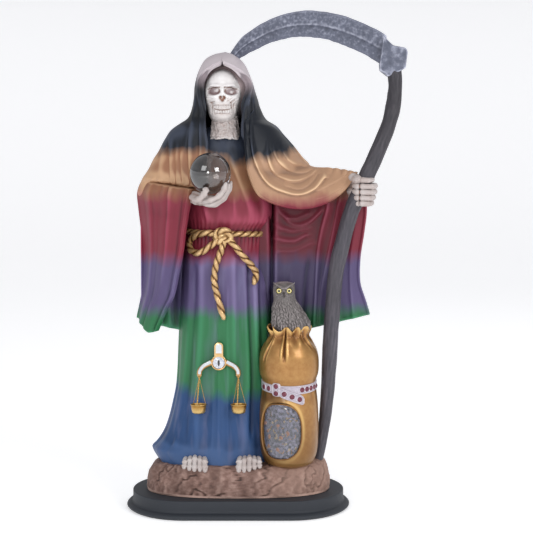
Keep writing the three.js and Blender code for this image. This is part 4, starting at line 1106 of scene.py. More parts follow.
def make_bent_sleeve(form):
    """The wide sleeve that hangs from the bent arm, with a turned front edge."""

    def face(u, v):
        low = mix(155.3, 145.8, ease(u * 1.25)) + 2 * ease((u - 0.75) * 4)
        z = mix(low, 268.8 - 6.3 * u**1.2, v)
        lean = 2 * grain(u * 50, 7, z * 0.25, 24)
        folds = 0.55 * pleat(17 * u + 0.8 + 0.4 * lean) * (1 - 0.6 * v) + 0.15 * pleat(41 * u + lean)
        folds += 1.1 * crest(u - 0.66 - 0.05 * v + 0.01 * lean, 0.012, 0.06) * ease(v * 1.6)
        folds += 0.9 * crest(0.34 - u + 0.01 * lean, 0.03, 0.1) + 0.8 * crest(u - 0.52, 0.02, 0.06) * (1 - v)
        edge = 1.5 * bell(u - 0.965, 0.022) - 1.3 * bell(u - 0.89, 0.03)
        top = 3.8 * ease((v - 0.78) / 0.2) * math.sin(math.pi * u) ** 0.5
        folds += 0.8 * ease((v - 0.9) / 0.06) * abs(math.cos(u * 26 + lean)) * bell(u - 0.72, 0.22)
        bulge = 4 * math.sin(math.pi * u) + folds + edge + top + 2 * math.sin(math.pi * v) * u
        return (mix(SLEEVE_OUTER(z), SLEEVE_EDGE(z), u) - 0.6 * bulge * (1 - 0.6 * ease((u - 0.8) * 5)),
                mix(5, -26 - 11 * v, u) - 0.8 * bulge, z)

    slab(form, 130, 170, (50, 120), face, lambda u, v: (mix(10, 2.5, u), mix(8, 4, u)), 1.2)


def make_sleeve_lining(form):
    """The inner layer of the bent sleeve, close to the robe."""

    def face(u, v):
        z = mix(mix(152, 142, u), 262, v)
        return mix(-80, -34, u), 3 + 1.3 * pleat(26 * u + z / 60) + 0.6 * grain(u * 40, 0, z * 0.3, 12), z

    slab(form, 70, 60, (46, 110), face, lambda u, v: (0, 15), 1.2)
    arm = Course([(-70, 10, 254), (-62, -8, 256), (-43, -29, 257)])
    limb(form, arm, (9, 5.5), 48, 40)


# Bones.

SKULL = Vector((-12, -6, 341))
SKULL_WIDTH = track((315, 11.4), (321.5, 12.3), (325, 12.8), (329, 13.2), (332.5, 14.2), (337, 14.6),
                    (345, 14.4), (358.5, 13.6))
SKULL_DEPTH = track((317, 21), (321.5, 19.5), (328, 17.5), (334, 16), (345, 15.5))
TOOTH = 2.15
UPPER_TEETH = 329.3
LOWER_TEETH = 322.4


def mouth_line(x):
    return 325.3 + 0.025 * x * x


def teeth(x, z):
    """Two rows of worn teeth, and the line of the closed mouth between them."""
    line = mouth_line(x)
    shown = ease((7.8 - abs(x)) / 1.4)
    upper = z > line
    edge, far, way = (UPPER_TEETH, 0.0, 1) if upper else (LOWER_TEETH, 0.5, -1)
    row = ease(way * (z - line) / 0.7) * ease(way * (edge - z) / 1.1)
    swell = abs(math.cos(math.pi * (x / TOOTH + far))) ** 0.4
    return shown * (row * (1.7 * swell - 0.9) - 1.3 * bell(z - line, 0.45) - 0.9 * bell(z - edge, 0.5))


def stroke(x, z, start, end, width):
    """How near a place on the face is to a short carved line."""
    along, off = Vector(end) - Vector(start), Vector((x, z)) - Vector(start)
    return bell((off - along * bounded(off.dot(along) / along.length_squared)).length, width)


# Carved lines of the cheeks and the brow: ends by place off the skull's middle and height, and depth.
FACE_LINES = (
    ((-13.2, 342.4), (-9.6, 343.7), 2.2), ((-9.6, 343.7), (-2.4, 343.5), 2.2), ((2, 343.5), (8.6, 343.8), 2.2),
    ((8.6, 343.8), (13.2, 342.2), 2.2), ((-1.6, 343.8), (1.2, 343.2), 0.8),
    ((1.6, 344.6), (1.9, 340.4), 0.7),
    ((-12.5, 335.4), (-8, 334.6), 0.8), ((-11, 331.4), (-6.6, 332), 0.9), ((-9.8, 331.6), (-8.8, 323.6), 0.8),
    ((-8.2, 331), (-6.6, 323.4), 0.6), ((4.2, 334.4), (7.6, 337), 0.9), ((4.4, 332.4), (9.6, 336.2), 0.9),
    ((6.2, 330.8), (9.4, 332.6), 1.1), ((7.6, 331.6), (8.6, 326.6), 1.3), ((12.4, 335.6), (9.8, 333.2), 0.8),
    ((10.4, 330.6), (9.6, 324), 0.6), ((-5.4, 321.2), (5.4, 321.2), 0.35),
)
EYEBALLS = ((-4.6, 341.2), (8.2, 339.9))
# Spots of the coat round the eyes, partly a wash and partly painted shade in the sockets, where only width and
# height count.
SOCKETS = ((SKULL.x - 7.1, 0, 340.4), (SKULL.x + 7.1, 0, 340.2))
EYES = tuple((SKULL.x + x, 0, z) for x, z in EYEBALLS)


def skull_carving(x, z):
    """How far the face stands out of the plain skull, at a place x off its middle and at a height."""
    side = abs(x)
    brow = 1.1 * bell(z - (345.4 - 0.03 * (side - 6) ** 2), 1.2) * ease((12 - side) / 3) * (1 - 0.5 * bell(x, 1.6))
    socket = ((side - 7.2) / 5.4) ** 2 + abs((z - 340.6) / 3.1) ** 2.6
    sockets = -2.6 * ease((1.25 - socket) / 0.5)
    eyeballs = sum(1.0 * math.sqrt(max(0, 1 - ((x - a) ** 2 + (z - b) ** 2) / 1.9**2)) for a, b in EYEBALLS)
    lobe = min(math.hypot(side - 1.45, z - 335.2) / 1.5, math.hypot(x, (z - 334.2) * 0.8) / 1.7)
    nose = -2.6 * ease((1.35 - lobe) / 0.5)
    nose += 0.9 * bell(x, 0.45) * ease((z - 335) / 0.8) * ease((337.4 - z) / 0.8)
    bridge = 1.5 * bell(x - 0.2, 1.3) * ease((z - 336.4) / 1.4) * (1 - ease((z - 342.5) / 3))
    cheekbone = 1.5 * bell(z - (336 - 0.12 * (side - 5)), 1.5) * ease((side - 4) / 2) * ease((13.6 - side) / 2)
    hollow = -1.9 * bell(side - 9.2, 2.6) * bell(z - 329, 3.4)
    lines = -1.15 * sum(depth * stroke(x, z, start, end, 0.55) for start, end, depth in FACE_LINES)
    chin = 1.2 * bell(z - 319, 2) * bell(x, 5)
    temple = -1.3 * bell(side - 12.4, 2.6) * bell(z - 346, 4.5)
    rough = 0.16 * grain(x, 9, z, 2.4) + 0.2 * grain(x, 1, z, 5)
    return (brow + sockets + eyeballs + nose + bridge + cheekbone + hollow + lines + chin + temple + rough
            + teeth(x, z))


def make_skull(form):
    stock = bmesh.ops.create_uvsphere(form, u_segments=250, v_segments=210, radius=1)
    for vertex in stock["verts"]:
        side, face, up = vertex.co
        reach = math.hypot(side, face)
        z = SKULL.z + up * (17.5 if up > 0 else 26)
        if up < 0 and reach > 1e-4:
            square = (1 - up**4) ** 0.25 / reach
            side, face = side * square, face * square
        forward = ease(-face * 1.4)
        muzzle = 1.2 * forward * bell(z - 327.5, 4.5) * bell(side, 0.5)
        x = side * SKULL_WIDTH(z)
        depth = 17 if face > 0 else SKULL_DEPTH(z) + muzzle
        vertex.co = (SKULL.x + x, SKULL.y + face * depth, z)
        outwards = Vector((side * 0.7, face, 0))
        if face < 0 and outwards.length > 0.05:
            vertex.co += outwards.normalized() * skull_carving(x, z) * ease(-face * 3)
    bmesh.ops.recalc_face_normals(form, faces=form.faces)


def make_hood_lining(form):
    """The solid back of the hood's hollow, close round the skull."""
    stock = bmesh.ops.create_uvsphere(form, u_segments=120, v_segments=90, radius=1)
    for vertex in stock["verts"]:
        side, face, up = vertex.co
        wide, tall = 19.4 if side > 0 else 17.2, 19.8 if up > 0 else 32
        vertex.co = (-11 + side * wide, -1 + face * 9.5, 343 + up * tall)


NECK_SPREAD = track((302, 12.2), (305, 12), (309, 11.2), (318, 10.6), (323, 8.8), (328, 8))


def make_neck(form):
    """A rough column of crumbled sinews with a ragged lower edge, which hangs in front of the robe."""

    def ring(turn, z):
        x, y = math.cos(turn), math.sin(turn)
        ragged = 1.6 * grain(x * 10, y * 10, 0, 2.2) * ease((307 - z) / 5)
        z += ragged
        sinews = 0.35 * math.cos(9 * turn + z * 0.12 + 2 * grain(x * 10, y * 10, z, 8))
        crumbs = 0.75 * grain(x * 10, y * 10, z, 2.0) + 0.5 * grain(x * 10, y * 10, z, 1.1)
        r = NECK_SPREAD(z) + sinews + crumbs
        return -10.3 + r * x, -6.5 - 6.6 * ease((316 - z) / 12) + r * 0.95 * y, z

    loft(form, 240, spread(302, 328, 120), ring)


def blunt(share):
    """What a finger's round ends leave of its radius at a share of its length."""
    return max(0.4, (1 - abs(2 * share - 1) ** 10) ** 0.5)


def knobbly(full, joints):
    """The radius of a bony finger: thick at its joints, thin between them, round at its tip."""
    def radius(share):
        swell = max(bell(share - joint, 0.07) for joint in joints)
        return full * (0.84 + 0.3 * swell) * blunt(share)

    return radius


def worn(seed):
    """Small hollows along a bone."""
    return lambda turn, share: 1 + 0.05 * grain(math.cos(turn) * 2, math.sin(turn) * 2, share * 30 + seed, 1.4)


def make_feet(form):
    """Five bony toes to a foot, with the ends of the long foot bones over them, under the robe's hem."""
    for foot, big in ((-34.3, 4), (9.6, 0)):
        for i in range(5):
            x, short = foot + 3.95 * (i - 2), abs(i - 2)
            tip = x + 0.35 * (i - 2) + 0.5 * math.sin(3.1 * i + foot)
            low = 35.2 + 0.8 * abs(i - big) + 0.5 * math.sin(5 * i)
            toe = Course([(foot + 3.4 * (i - 2), -24, 44.4), (x, -36.5, 46.6 - 0.9 * short),
                          (x, -41.6 + 0.8 * short, 42), (tip, -43 + 0.8 * short, low)])
            shape = knobbly(2.6 if i == big else 2.15, (0.42 + 0.05 * short, 0.78))
            limb(form, toe, shape, 26, 64, guide=(1, 0, 0), carve=worn(2.7 * i + foot))


PALM_TOP = Vector((-21, -45, 258.5))


def ball_middle():
    return PALM_TOP + Vector((0, 0, size_of("ball") / 2))


# The open hand's fingers and thumb, as points off the ball's middle, with each one's thickness.
OPEN_FINGERS = (
    (((-8, -8, -24), (-2, -12.5, -22.8), (5, -12.8, -20), (9.8, -12, -14.6), (11.8, -12.8, -8.6)), 2.2),
    (((-7, -5.5, -25.6), (-1, -9, -26), (6.6, -9.4, -22.8), (11.6, -8.4, -16.6), (14, -8, -9.8)), 2.0),
    (((-6, -1, -26.6), (1.6, -4.5, -26.6), (8.6, -4.6, -22.8), (13.4, -3.6, -15.6), (15.4, -4, -8.8)), 1.9),
    (((-5, 4, -26), (3, 2, -25.6), (9.6, 3, -21), (13.8, 5, -13.6), (15.4, 6, -8)), 1.8),
    (((-13, -13, -23.5), (-8.5, -15.4, -21), (-5, -15.8, -16.8), (-3.3, -15.8, -12.4)), 2.5),
)


def make_open_hand(form):
    """The hand under the glass ball: wrist, cupped palm, four fingers up the right side and a thumb."""
    middle = ball_middle() + Vector((1.2, 0, 2))
    for i, (points, thickness) in enumerate(OPEN_FINGERS):
        joints = (0.3, 0.56, 0.8) if len(points) == 5 else (0.25, 0.62, 0.86)
        path = Course([middle + Vector(point) for point in points])
        limb(form, path, knobbly(thickness, joints), 30, 100, guide=(0, 1, 0.4), carve=worn(i))
    wrist = [middle + Vector(point) for point in
             ((-27, 27, -19.5), (-18, 17, -20.2), (-11, 3, -21.6), (-3, -8, -22.8))]
    limb(form, Course(wrist), track((0, 4.6), (0.35, 4.4), (0.7, 4.9), (1, 3.4)), 60, 80, 0.9,
         carve=lambda turn, share: (1 + 0.09 * math.cos(5 * turn + 2 * share)
                                    + 0.06 * grain(turn * 3, share * 18, 0, 1.5)))
    egg(form, middle + Vector((-4, -3, -22.8)), (11.6, 8.5, 4.2), 90, 60,
        lambda way: 1 + 0.05 * math.cos(way.y * 10 + 1) * max(0, -way.z) + 0.04 * grain(*(way * 8), 1.3))


# The shaft's middle line, with its end sunk in the rock.
SHAFT = Course([(65.9, -7.7, 37), (66.5, -8, 41), (71.5, -11, 76), (74.5, -15, 115), (76.5, -18, 155),
                (80, -21, 197), (91, -24, 243), (99, -25, 262), (110, -23, 286), (122, -19, 316),
                (126.5, -13.5, 338), (126.8, -9, 358)])


def shaft_at(z):
    """The shaft's middle at a height."""
    low, high = 0.0, 1.0
    for _ in range(24):
        share = (low + high) / 2
        low, high = (share, high) if SHAFT.at(share).z < z else (low, share)
    return SHAFT.at(low)


# The closed hand's fingers from the top: height, and the places of their left and right ends.
CLOSED_FINGERS = ((269.6, 97, 108.4), (264.6, 93.6, 111.2), (260, 93.4, 110.8), (255.4, 93.8, 109.6),
                  (250.9, 95, 108))
KNUCKLE_GROOVE = 97.8


def make_closed_hand(form):
    """The hand round the shaft: its back behind, and fingers wrapped across the front in even rows."""
    bone = 2.35
    shaft = size_of("handle") / 2
    for i, (z, left, right) in enumerate(CLOSED_FINGERS):
        front = shaft_at(z).y - shaft - 1.4
        path = Course([(left + 3, front + 13, z + 0.4), (left + 0.4, front + 7, z + 0.3),
                       (left + 2.2, front + 1.6, z), (mix(left, right, 0.36), front, z),
                       (mix(left, right, 0.68), front + 0.3, z - 0.2),
                       (right - 2.2, front + 3, z - 0.1), (right - 0.6, front + 8, z + 0.5),
                       (right - 3, front + 13, z + 1)])

        def radius(share):
            x, y, _ = path.at(share)
            off = x - KNUCKLE_GROOVE
            groove = (0.42 * bell(off, 0.55) + 0.12 * bell(x - 106, 0.5)) * ease((front + 4 - y) / 3)
            knob = 0.1 * (bell(off + 2, 1) + bell(off - 2, 1) + bell(x - 107.5, 1.2))
            return bone * (0.93 + knob - groove) * blunt(share)

        limb(form, path, radius, 30, 120, guide=(0, 0, 1), carve=worn(i * 3))
    egg(form, (95.4, -28.5, 270.2), (4.2, 6.5, 4.0), 60, 44, lambda way: 1 + 0.08 * grain(*(way * 7), 1.6))
    behind = shaft_at(261) + Vector((-0.5, shaft + 1.5, -0.5))
    egg(form, behind, (9.6, 6.5, 12.6), 80, 60,
        lambda way: 1 + 0.05 * math.cos(way.z * 11) + 0.03 * grain(*(way * 9), 1.4))
    egg(form, (93, -21.4, 271.2), (3.9, 3.7, 3.9), 40, 30)
    wrist = Course([(80, -4, 272), (90, -12, 271.2), (95, -18, 269.5), (99, -19, 265)])
    limb(form, wrist, (4.8, 4.8), 44, 60, carve=lambda turn, share: (
        1 + 0.07 * math.cos(4 * turn + 1) + 0.04 * grain(turn * 3, share * 14, 5, 1.5)))


# Scythe.

SHAFT_THICKNESS = track((0, 0.58), (0.09, 0.62), (0.16, 0.8), (0.27, 1), (0.54, 1.06), (0.9, 1), (1, 0.95))
BLADE_BACK = track((-16, 357), (-6, 374.5), (4, 387), (20, 397.5), (35, 403.8), (48, 406.4), (58, 407),
                   (74, 405), (89, 401), (105, 394), (116, 388), (127, 380))
BLADE_EDGE = track((-16, 355.5), (-6, 363), (3, 370), (17, 377), (29, 382), (42, 385), (52, 385.6), (69, 384),
                   (84, 379), (100, 372), (115, 363), (127, 356))
BLADE_DEPTH = -9  # where the blade's sheet stands, front to back
SOCKET = ((117, 385), (125, 377.5), (135.5, 375.5), (137, 372), (135.5, 359), (131, 356.5), (121, 352),
          (114.5, 357), (114, 361.5))
# The shaft's knots: share of its length, turn, size.
KNOTS = ((0.13, 1.0, 0.05), (0.3, 2.6, 0.04), (0.44, 4.4, 0.05), (0.58, 0.4, 0.04), (0.71, 3.4, 0.05),
         (0.86, 5.2, 0.04))


def make_shaft(form):
    """The shaft: a gnarled branch with knots and long grain."""
    thickness = size_of("handle")

    def carve(turn, share):
        x, y = math.cos(turn) * 6, math.sin(turn) * 6
        knot = sum(0.1 * bell(share - place, size) * max(0, math.cos(turn - way)) for place, way, size in KNOTS)
        return 0.97 + knot + 0.07 * grain(x, y, share * 340, 13) + 0.035 * grain(x, y, share * 60, 1.7)

    limb(form, SHAFT, lambda share: thickness / 2 * SHAFT_THICKNESS(share), 80, 620, carve=carve)


def make_socket(form):
    """The block that holds the blade: rough-hewn, with worn corners."""
    corners = [Vector((x, 0, z)) for x, z in SOCKET]
    middle = sum(corners, Vector()) / len(corners)
    edges = [(start, end, (end - start).length) for start, end in zip(corners, corners[1:] + corners[:1])]

    def outline(share):
        left = share * sum(run for _, _, run in edges)
        for start, end, run in edges:
            if left <= run:
                return start.lerp(end, left / run)
            left -= run
        return corners[0]

    def ring(turn, level):
        around = -turn / FULL_TURN % 1
        point = sum((outline((around + step * 0.004) % 1) for step in range(-2, 3)), Vector()) / 5
        deep, share = level
        away = point - middle
        dent = 0.2 * grain(point.x, deep, point.z, 7) + 0.1 * grain(point.x, deep, point.z, 2)
        point = middle + away * share + away.normalized() * (dent - 0.25)
        rough = 0.3 * grain(point.x, 0, point.z, 4) * (1 if deep > 0 else -1)
        return point.x, BLADE_DEPTH + deep + rough, point.z

    half = size_of("socket") / 2 - 0.3
    round_edge = [(half - 1 + math.sin(a), 1 - 0.09 * (1 - math.cos(a))) for a in spread(0, RIGHT_ANGLE, 8)]
    levels = [(-deep, share) for deep, share in reversed(round_edge)]
    levels += [(y, 1) for y in spread(-half + 1.2, half - 1.2, 20)] + round_edge
    inward = [(half, 0.9 * share) for share in (1, 0.8, 0.6, 0.4, 0.2)]
    loft(form, 144, [(-deep, share) for deep, share in reversed(inward)] + levels + inward, ring)


def make_blade(form):
    """The blade: a hammered sheet with a bevel along its inner edge."""
    thickness = size_of("blade")
    section = track((0, 0.14), (0.43, 0.62), (0.47, 1), (0.94, 1), (1, 0.5))

    def ring(turn, x):
        share = turn / FULL_TURN * 2
        front = share < 1
        rise = 0.5 - 0.5 * math.cos(math.pi * share)
        low, high = BLADE_EDGE(x), BLADE_BACK(x)
        nick = 0.5 * grain(x, 3, 0, 4) * bell(rise, 0.1) + 0.5 * grain(x, 8, 0, 7) * bell(rise - 1, 0.1)
        z = mix(low, high, rise) + nick
        rough = 0.3 * grain(x, 5 * front, z, 3.4) + 0.16 * grain(x, 5 * front, z, 1.5)
        half = thickness / 2 * section(rise) + (rough - 0.1) * ease(rise * 5) * ease((1 - rise) * 8)
        return x, BLADE_DEPTH + (120 - x) * 0.3 + (-half if front else half), z

    loft(form, 120, spread(-16, 120, 330), ring)


# Rope girdle.


def rope(form, points, thickness, guide=(0, 1, 0)):
    """A rope of three twisted strands through points, with the finer yarns on each strand."""
    course = Course(points)
    steps = spread(0, 1, 80)
    run = sum((course.at(b) - course.at(a)).length for a, b in zip(steps, steps[1:]))

    def carve(turn, share):
        phase = turn + FULL_TURN * share * run / (3.0 * thickness)
        yarns = 0.02 * math.cos(12 * phase + 5 * math.sin(turn))
        return 0.7 + 0.36 * abs(math.cos(phase)) ** 0.75 + yarns

    end = thickness / run

    def radius(share):
        """The rope's, with round ends."""
        return thickness / 2 * max(0.25, math.sqrt(1 - (1 - min(share, 1 - share, end) / end) ** 3))

    limb(form, course, radius, 40, round(run / 0.4), guide=guide, carve=carve)


def make_girdle(form):
    """The girdle, its knot and bow, and two tails."""
    thickness = size_of("rope")

    def on_robe(points):
        return [(x, face_of(ROBE, x, z) - out, z) for x, z, out in points]

    waist = [robe_point(math.radians(192 + i * 17), 227.5 - i * 0.25, 0.6) for i in range(11)]
    rope(form, waist, thickness * 0.9, guide=(0, 0, 1))
    bow = [(-15, 226, 3), (-24, 227, 4), (-34, 224.5, 4), (-39, 218.5, 3), (-37.5, 212.5, 4), (-30.5, 211, 5),
           (-22, 216.5, 5), (-14, 223, 4)]
    short_tail = [(-11, 226, 4), (-3, 218, 5), (4, 209, 4), (11, 201, 3.5), (15, 194, 3.5), (13, 185, 3.5)]
    long_tail = [(-10, 224, 5), (-13, 213, 5), (-17, 202, 4), (-18.5, 189, 3.5), (-16, 177, 3.5),
                 (-10.6, 157.5, 3.5)]
    for points in (bow, short_tail, long_tail):
        rope(form, on_robe(points), thickness)
    over = [(-18, 221, 3), (-16, 227.5, 5.8), (-10.5, 229.6, 6.6), (-6, 226, 5.8), (-6.6, 219.6, 3)]
    under = [(-16.5, 218.5, 3), (-12, 221.6, 6.2), (-6.8, 222.6, 5.2), (-4, 226, 3)]
    for points in (over, under):
        rope(form, on_robe(points), thickness * 1.05)
    egg(form, on_robe([(-11.6, 224.6, 2.6)])[0], (5.8, 3.4, 5.2), 40, 30)


# Rock and plinth.

ROCK_REACH = track((0, 1), (0.25, 0.992), (0.5, 0.965), (0.62, 0.935), (0.7, 0.875), (0.8, 0.71), (1, 0.25))
ROCK_HEIGHT = track((0, 15), (0.25, 24), (0.5, 32.5), (0.62, 36.3), (0.7, 38.4), (0.8, 39.3), (1, 39.4))


def make_rock(form):
    """A low rock with cracks and facets, rough outwards at its sides and upwards on its top."""

    def ring(turn, level):
        c, s = math.cos(turn), math.sin(turn)
        z = ROCK_HEIGHT(level)
        off_floor = ease(level / 0.05)
        waves = math.sin(5 * turn + 0.1 * z) + math.sin(9 * turn - 0.12 * z)
        reach = ROCK_REACH(level) * (1 + 0.012 * off_floor * waves)
        x, y = 75 * reach * squared_off(c, 0.82), 44 * reach * squared_off(s, 0.82)
        crack = bell(grain(x, y, z * 1.2, 19) + 0.25 * grain(x, y, z, 5), 0.045)
        crack *= ease(grain(x, y, z, 26) * 2 + 0.6)
        facet = 1 - abs(grain(x, y, z * 0.7, 14)) * 2
        rough = 0.6 * facet - crack - 0.3
        rough += sum(share * grain(x, y, z, lump) for share, lump in ((0.4, 9), (0.42, 3.4), (0.2, 1.4)))
        upwards = ease((level - 0.5) / 0.2)
        out = rough * off_floor * (1 - upwards)
        hump = 2.4 * bell(math.remainder(turn + 0.85, FULL_TURN), 0.3)
        top = ease((level - 0.4) / 0.2) * (1.4 * math.sin(3 * turn + 1) + 8 * max(c - 0.75, 0) + hump)
        return x + out * c, y + out * s, z + top * ROCK_REACH(level) + rough * upwards

    loft(form, 380, spread(0, 1, 130), ring)


def make_plinth(form):
    """An oval plinth with straight front and back, a coved foot and an eased top edge."""
    steps, foot, straight, edge = 110, 5, 84, 0.8
    long, deep, tall = (span_of("plinth", axis) for axis in range(3))
    end, half = (long - straight) / 2 - foot, deep / 2 - foot
    sides = 2 * steps + 2
    levels = [(5 * share, foot * (0.42 + 0.58 * math.sin(math.pi * share) ** 0.8)) for share in spread(0, 1, 20)]
    levels += [(5 + 2.2 * (1 - math.cos(a)), foot * 0.42 * (1 - math.sin(a))) for a in spread(0, RIGHT_ANGLE, 12)]
    levels += [(z, 0) for z in spread(7.4, tall - edge, 8)]
    levels += [(tall - edge * (1 - math.sin(a)), -edge * (1 - math.cos(a))) for a in spread(0, RIGHT_ANGLE, 8)]
    levels += [(tall, -edge - reach) for reach in (1, 6, 20, 38)]

    def ring(turn, level):
        z, out = level
        step = round(turn / FULL_TURN * sides)
        right = step <= steps
        angle = ((step if right else step - 1) / steps - 0.5) * math.pi
        middle = straight / 2 if right else -straight / 2
        return middle + (end + out) * math.cos(angle), (half + out) * math.sin(angle), z

    loft(form, sides, levels, ring)


# Money bag.

BAG = Vector((41.7, -20, 0))
BAG_RADIUS = track((33, 6), (37, 14), (39.5, 18.4), (43, 21), (50, 23), (66, 24), (86, 23.6), (95, 22.2),
                   (101, 21), (106, 22.2), (112, 23.7), (120, 24.1), (128, 23.6), (134, 21.6), (139, 18.9),
                   (142, 16.8), (144, 15.7), (146.5, 15.6), (149, 16.2), (152, 17))
BELLY = 24  # the bag's radius at its window
WAIST = 101
WAIST_RADIUS = 22  # of the strap
MOUTH = 142
WINDOW_TURN = math.radians(250)
WINDOW = (18.3, 22.1)
WINDOW_MIDDLE = 68.5
# Pleats drawn in by the bag's mouth: bearing at the mouth, degrees of lean, depth, width, lower end.
BAG_FOLDS = ((258.5, 1, 2.2, 0.055, 123), (221, -9, 1.3, 0.05, 121), (319, 12, 0.9, 0.06, 131),
             (10, 6, 1.6, 0.07, 124), (52, 3, 2.0, 0.06, 126), (95, -3, 2.2, 0.06, 123),
             (140, -5, 1.8, 0.07, 125), (178, -5, 1.5, 0.06, 127))


def strap_height(turn):
    return 104.5 + 2.5 * math.sin(turn)


def window_outline(a, b):
    """One on the window's edge, less inside it."""
    return sum((abs(off) / reach) ** 2.56 for off, reach in zip((a, b), WINDOW))


def bag_point(turn, z, out):
    """A point of the bag, with its pleats, its pinched waist, its ruffled mouth and the window's recess."""
    ruffle = ease((z - MOUTH - 1) / 6)
    wave = 11 * turn + 0.9 * math.sin(2 * turn + 1) + 0.5 * math.sin(5 * turn)
    folds = 0.9 * bell(z - MOUTH, 4) * math.cos(wave)
    for degrees, lean, deep, wide, low in BAG_FOLDS:
        down = ease((MOUTH - z) / (MOUTH - low))
        off = math.remainder(turn - math.radians(degrees + lean * down), FULL_TURN)
        shown = ease((z - low) / 9) * (1 - 0.6 * ruffle)
        lips = bell(abs(off) - 1.7 * wide, 0.9 * wide)
        folds += shown * (0.3 * deep * lips - deep * bell(off, wide * (0.75 + 0.5 * down)))
    pinch = 0.35 * bell(z - 96.5, 5) * pleat(13 * turn + 1.5 * math.sin(2 * turn))
    r = BAG_RADIUS(z) + folds + pinch + 1.9 * ruffle * math.cos(wave) + out
    sag = (strap_height(turn) - WAIST) * bell(z - WAIST, 12)
    a = math.remainder(turn - WINDOW_TURN, FULL_TURN) * BELLY
    r -= 7.5 * ease((1.08 - window_outline(a, z - WINDOW_MIDDLE)) / 0.08)
    r += 0.2 * grain(math.cos(turn) * BELLY, math.sin(turn) * BELLY, z, 14)
    flare = ruffle * (2.1 * math.cos(wave + 0.9) - 0.9)
    return BAG.x + r * math.cos(turn), BAG.y + r * math.sin(turn), z + sag + flare


def make_bag(form):
    levels = [(z, 0) for z in spread(33, 150.3, 230)]
    levels += [(151, -0.2), (151.3, -0.7), (151.1, -1.3), (150.2, -1.7), (148.2, -1.9), (146, -2.2), (144, -3.2)]
    loft(form, 380, levels, lambda turn, level: bag_point(turn, *level))


def off_waist(turn, z, out):
    """A point of the bag's waist pushed out, at a height of its own."""
    return Vector((BAG.x, BAG.y, z)) + bearing_of(turn) * (BAG_RADIUS(WAIST) + out)


def band(form, start, finish, height_at, width, inside, outside, steps, corner=0.0):
    """A flat strap round part of the bag's waist, with a soft bead along both edges and rounded corners."""

    def ring(turn, bearing):
        out, up = squared_off(math.cos(turn), 0.35), squared_off(math.sin(turn), 0.35)
        bead = 0.3 * bell(abs(up) - 0.86, 0.12) * (out > 0)
        from_end = min(bearing - math.radians(start), math.radians(finish) - bearing) * WAIST_RADIUS
        tall = width - 2 * lip_drop(max(from_end, 0), corner) if corner else width
        z = height_at(bearing) + up * tall / 2
        return off_waist(bearing, z, mix(inside, outside, 0.5 + 0.5 * out) + bead)

    loft(form, 56, [math.radians(d) for d in spread(start, finish, steps)], ring)


def loose_end(turn):
    """The height of the strap's loose end, which slopes down."""
    return 100.8 - 8.4 * (turn - WINDOW_TURN)


def stone_places():
    """Each stone's bearing in degrees, its height and how far out its seat is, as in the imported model."""
    pitch = math.degrees(4.4 / WAIST_RADIUS)
    along = [207, 223, *(297 + i * pitch for i in range(5))]
    places = [(d, strap_height(math.radians(d)), 1.5) for d in along]
    keeper = 242.5
    places += [(keeper, strap_height(math.radians(keeper)) + up, 2.25) for up in (2.9, -2.9)]
    return places + [(d, loose_end(math.radians(d)), 3.0) for d in (260, 275, 290)]


def seat_axes(degrees, z, out):
    """A stone's seat, the way out of it and the way along the strap."""
    turn = math.radians(degrees)
    away = bearing_of(turn)
    return off_waist(turn, z, out), away, Vector((-away.y, away.x, 0))


def make_strap(form):
    """The strap round the bag's waist, its keeper and loose end, and a rim for each stone."""
    width, rim = size_of("strap"), size_of("stone") / 2 + 0.1
    band(form, 0, 359.9, strap_height, width, -3, 1.5, 220)
    band(form, 234, 251, strap_height, width * 1.5, -1, 2.25, 36, 1.5)
    band(form, 249, 300, loose_end, width * 1.12, -1, 3.0, 110, 2.6)
    for place in stone_places():
        seat, away, along = seat_axes(*place)
        loop_tube(form, lambda a: seat + (along * math.cos(a) + Vector((0, 0, math.sin(a)))) * rim,
                  lambda a: away, 0.2, 0.36, 28, 10)


def loop_tube(form, path, outwards, wide, tall, around, sides):
    """A closed ring of tube along path(turn), whose section is wide across and tall along outwards(turn)."""
    grid = sheet_of_quads(form, around, sides)
    for vertex, along, about in grid:
        a, b = along * FULL_TURN, about * FULL_TURN
        here, tall_way = path(a), outwards(a)
        ahead = (path(a + 0.01) - path(a - 0.01)).normalized()
        vertex.co = here + ahead.cross(tall_way) * (wide * math.cos(b)) + tall_way * (tall * math.sin(b))
    tidy(form, [vertex for vertex, _, _ in grid])


def make_stone(form, place):
    """A round stone with a ring of facets and a flat top."""
    seat, away, along = seat_axes(*place)
    levels = [(-0.7, 1), (0.15, 1), (0.75, 0.82), (1.15, 0.5)]

    def ring(turn, level):
        rise, share = level
        a = turn + (0.26 if share < 1 else 0)
        r = size_of("stone") / 2 * share
        return seat + away * rise + along * (r * math.cos(a)) + Vector((0, 0, r * math.sin(a)))

    loft(form, 12, levels, ring)


# Window of the bag.

FILLING_BACK = -7


def on_window(a, b, out):
    """A point of the window: along the bag's face, up it, and off it, in millimetres."""
    away = bearing_of(WINDOW_TURN + a / BELLY)
    return Vector((BAG.x, BAG.y, WINDOW_MIDDLE + b)) + away * (BELLY - 0.0022 * b * b + out)


def window_ring(turn, grown=0.0):
    """Where the window's edge is at a turn round it, grown by some millimetres: along the bag and up."""
    ways = math.cos(turn), math.sin(turn)
    return [(reach + grown) * squared_off(way, 0.78) for reach, way in zip(WINDOW, ways)]


def window_drum(form, levels, sides=120, rough=0.0):
    """A body in the window's outline through (how far out, share of its size) levels, rough on its face."""
    def ring(turn, level):
        out, share = level
        a, b = (share * reach for reach in window_ring(turn))
        return on_window(a, b, out + rough * grain(a, b, 0, 2.2) * (out > FILLING_BACK))

    loft(form, sides, levels, ring)


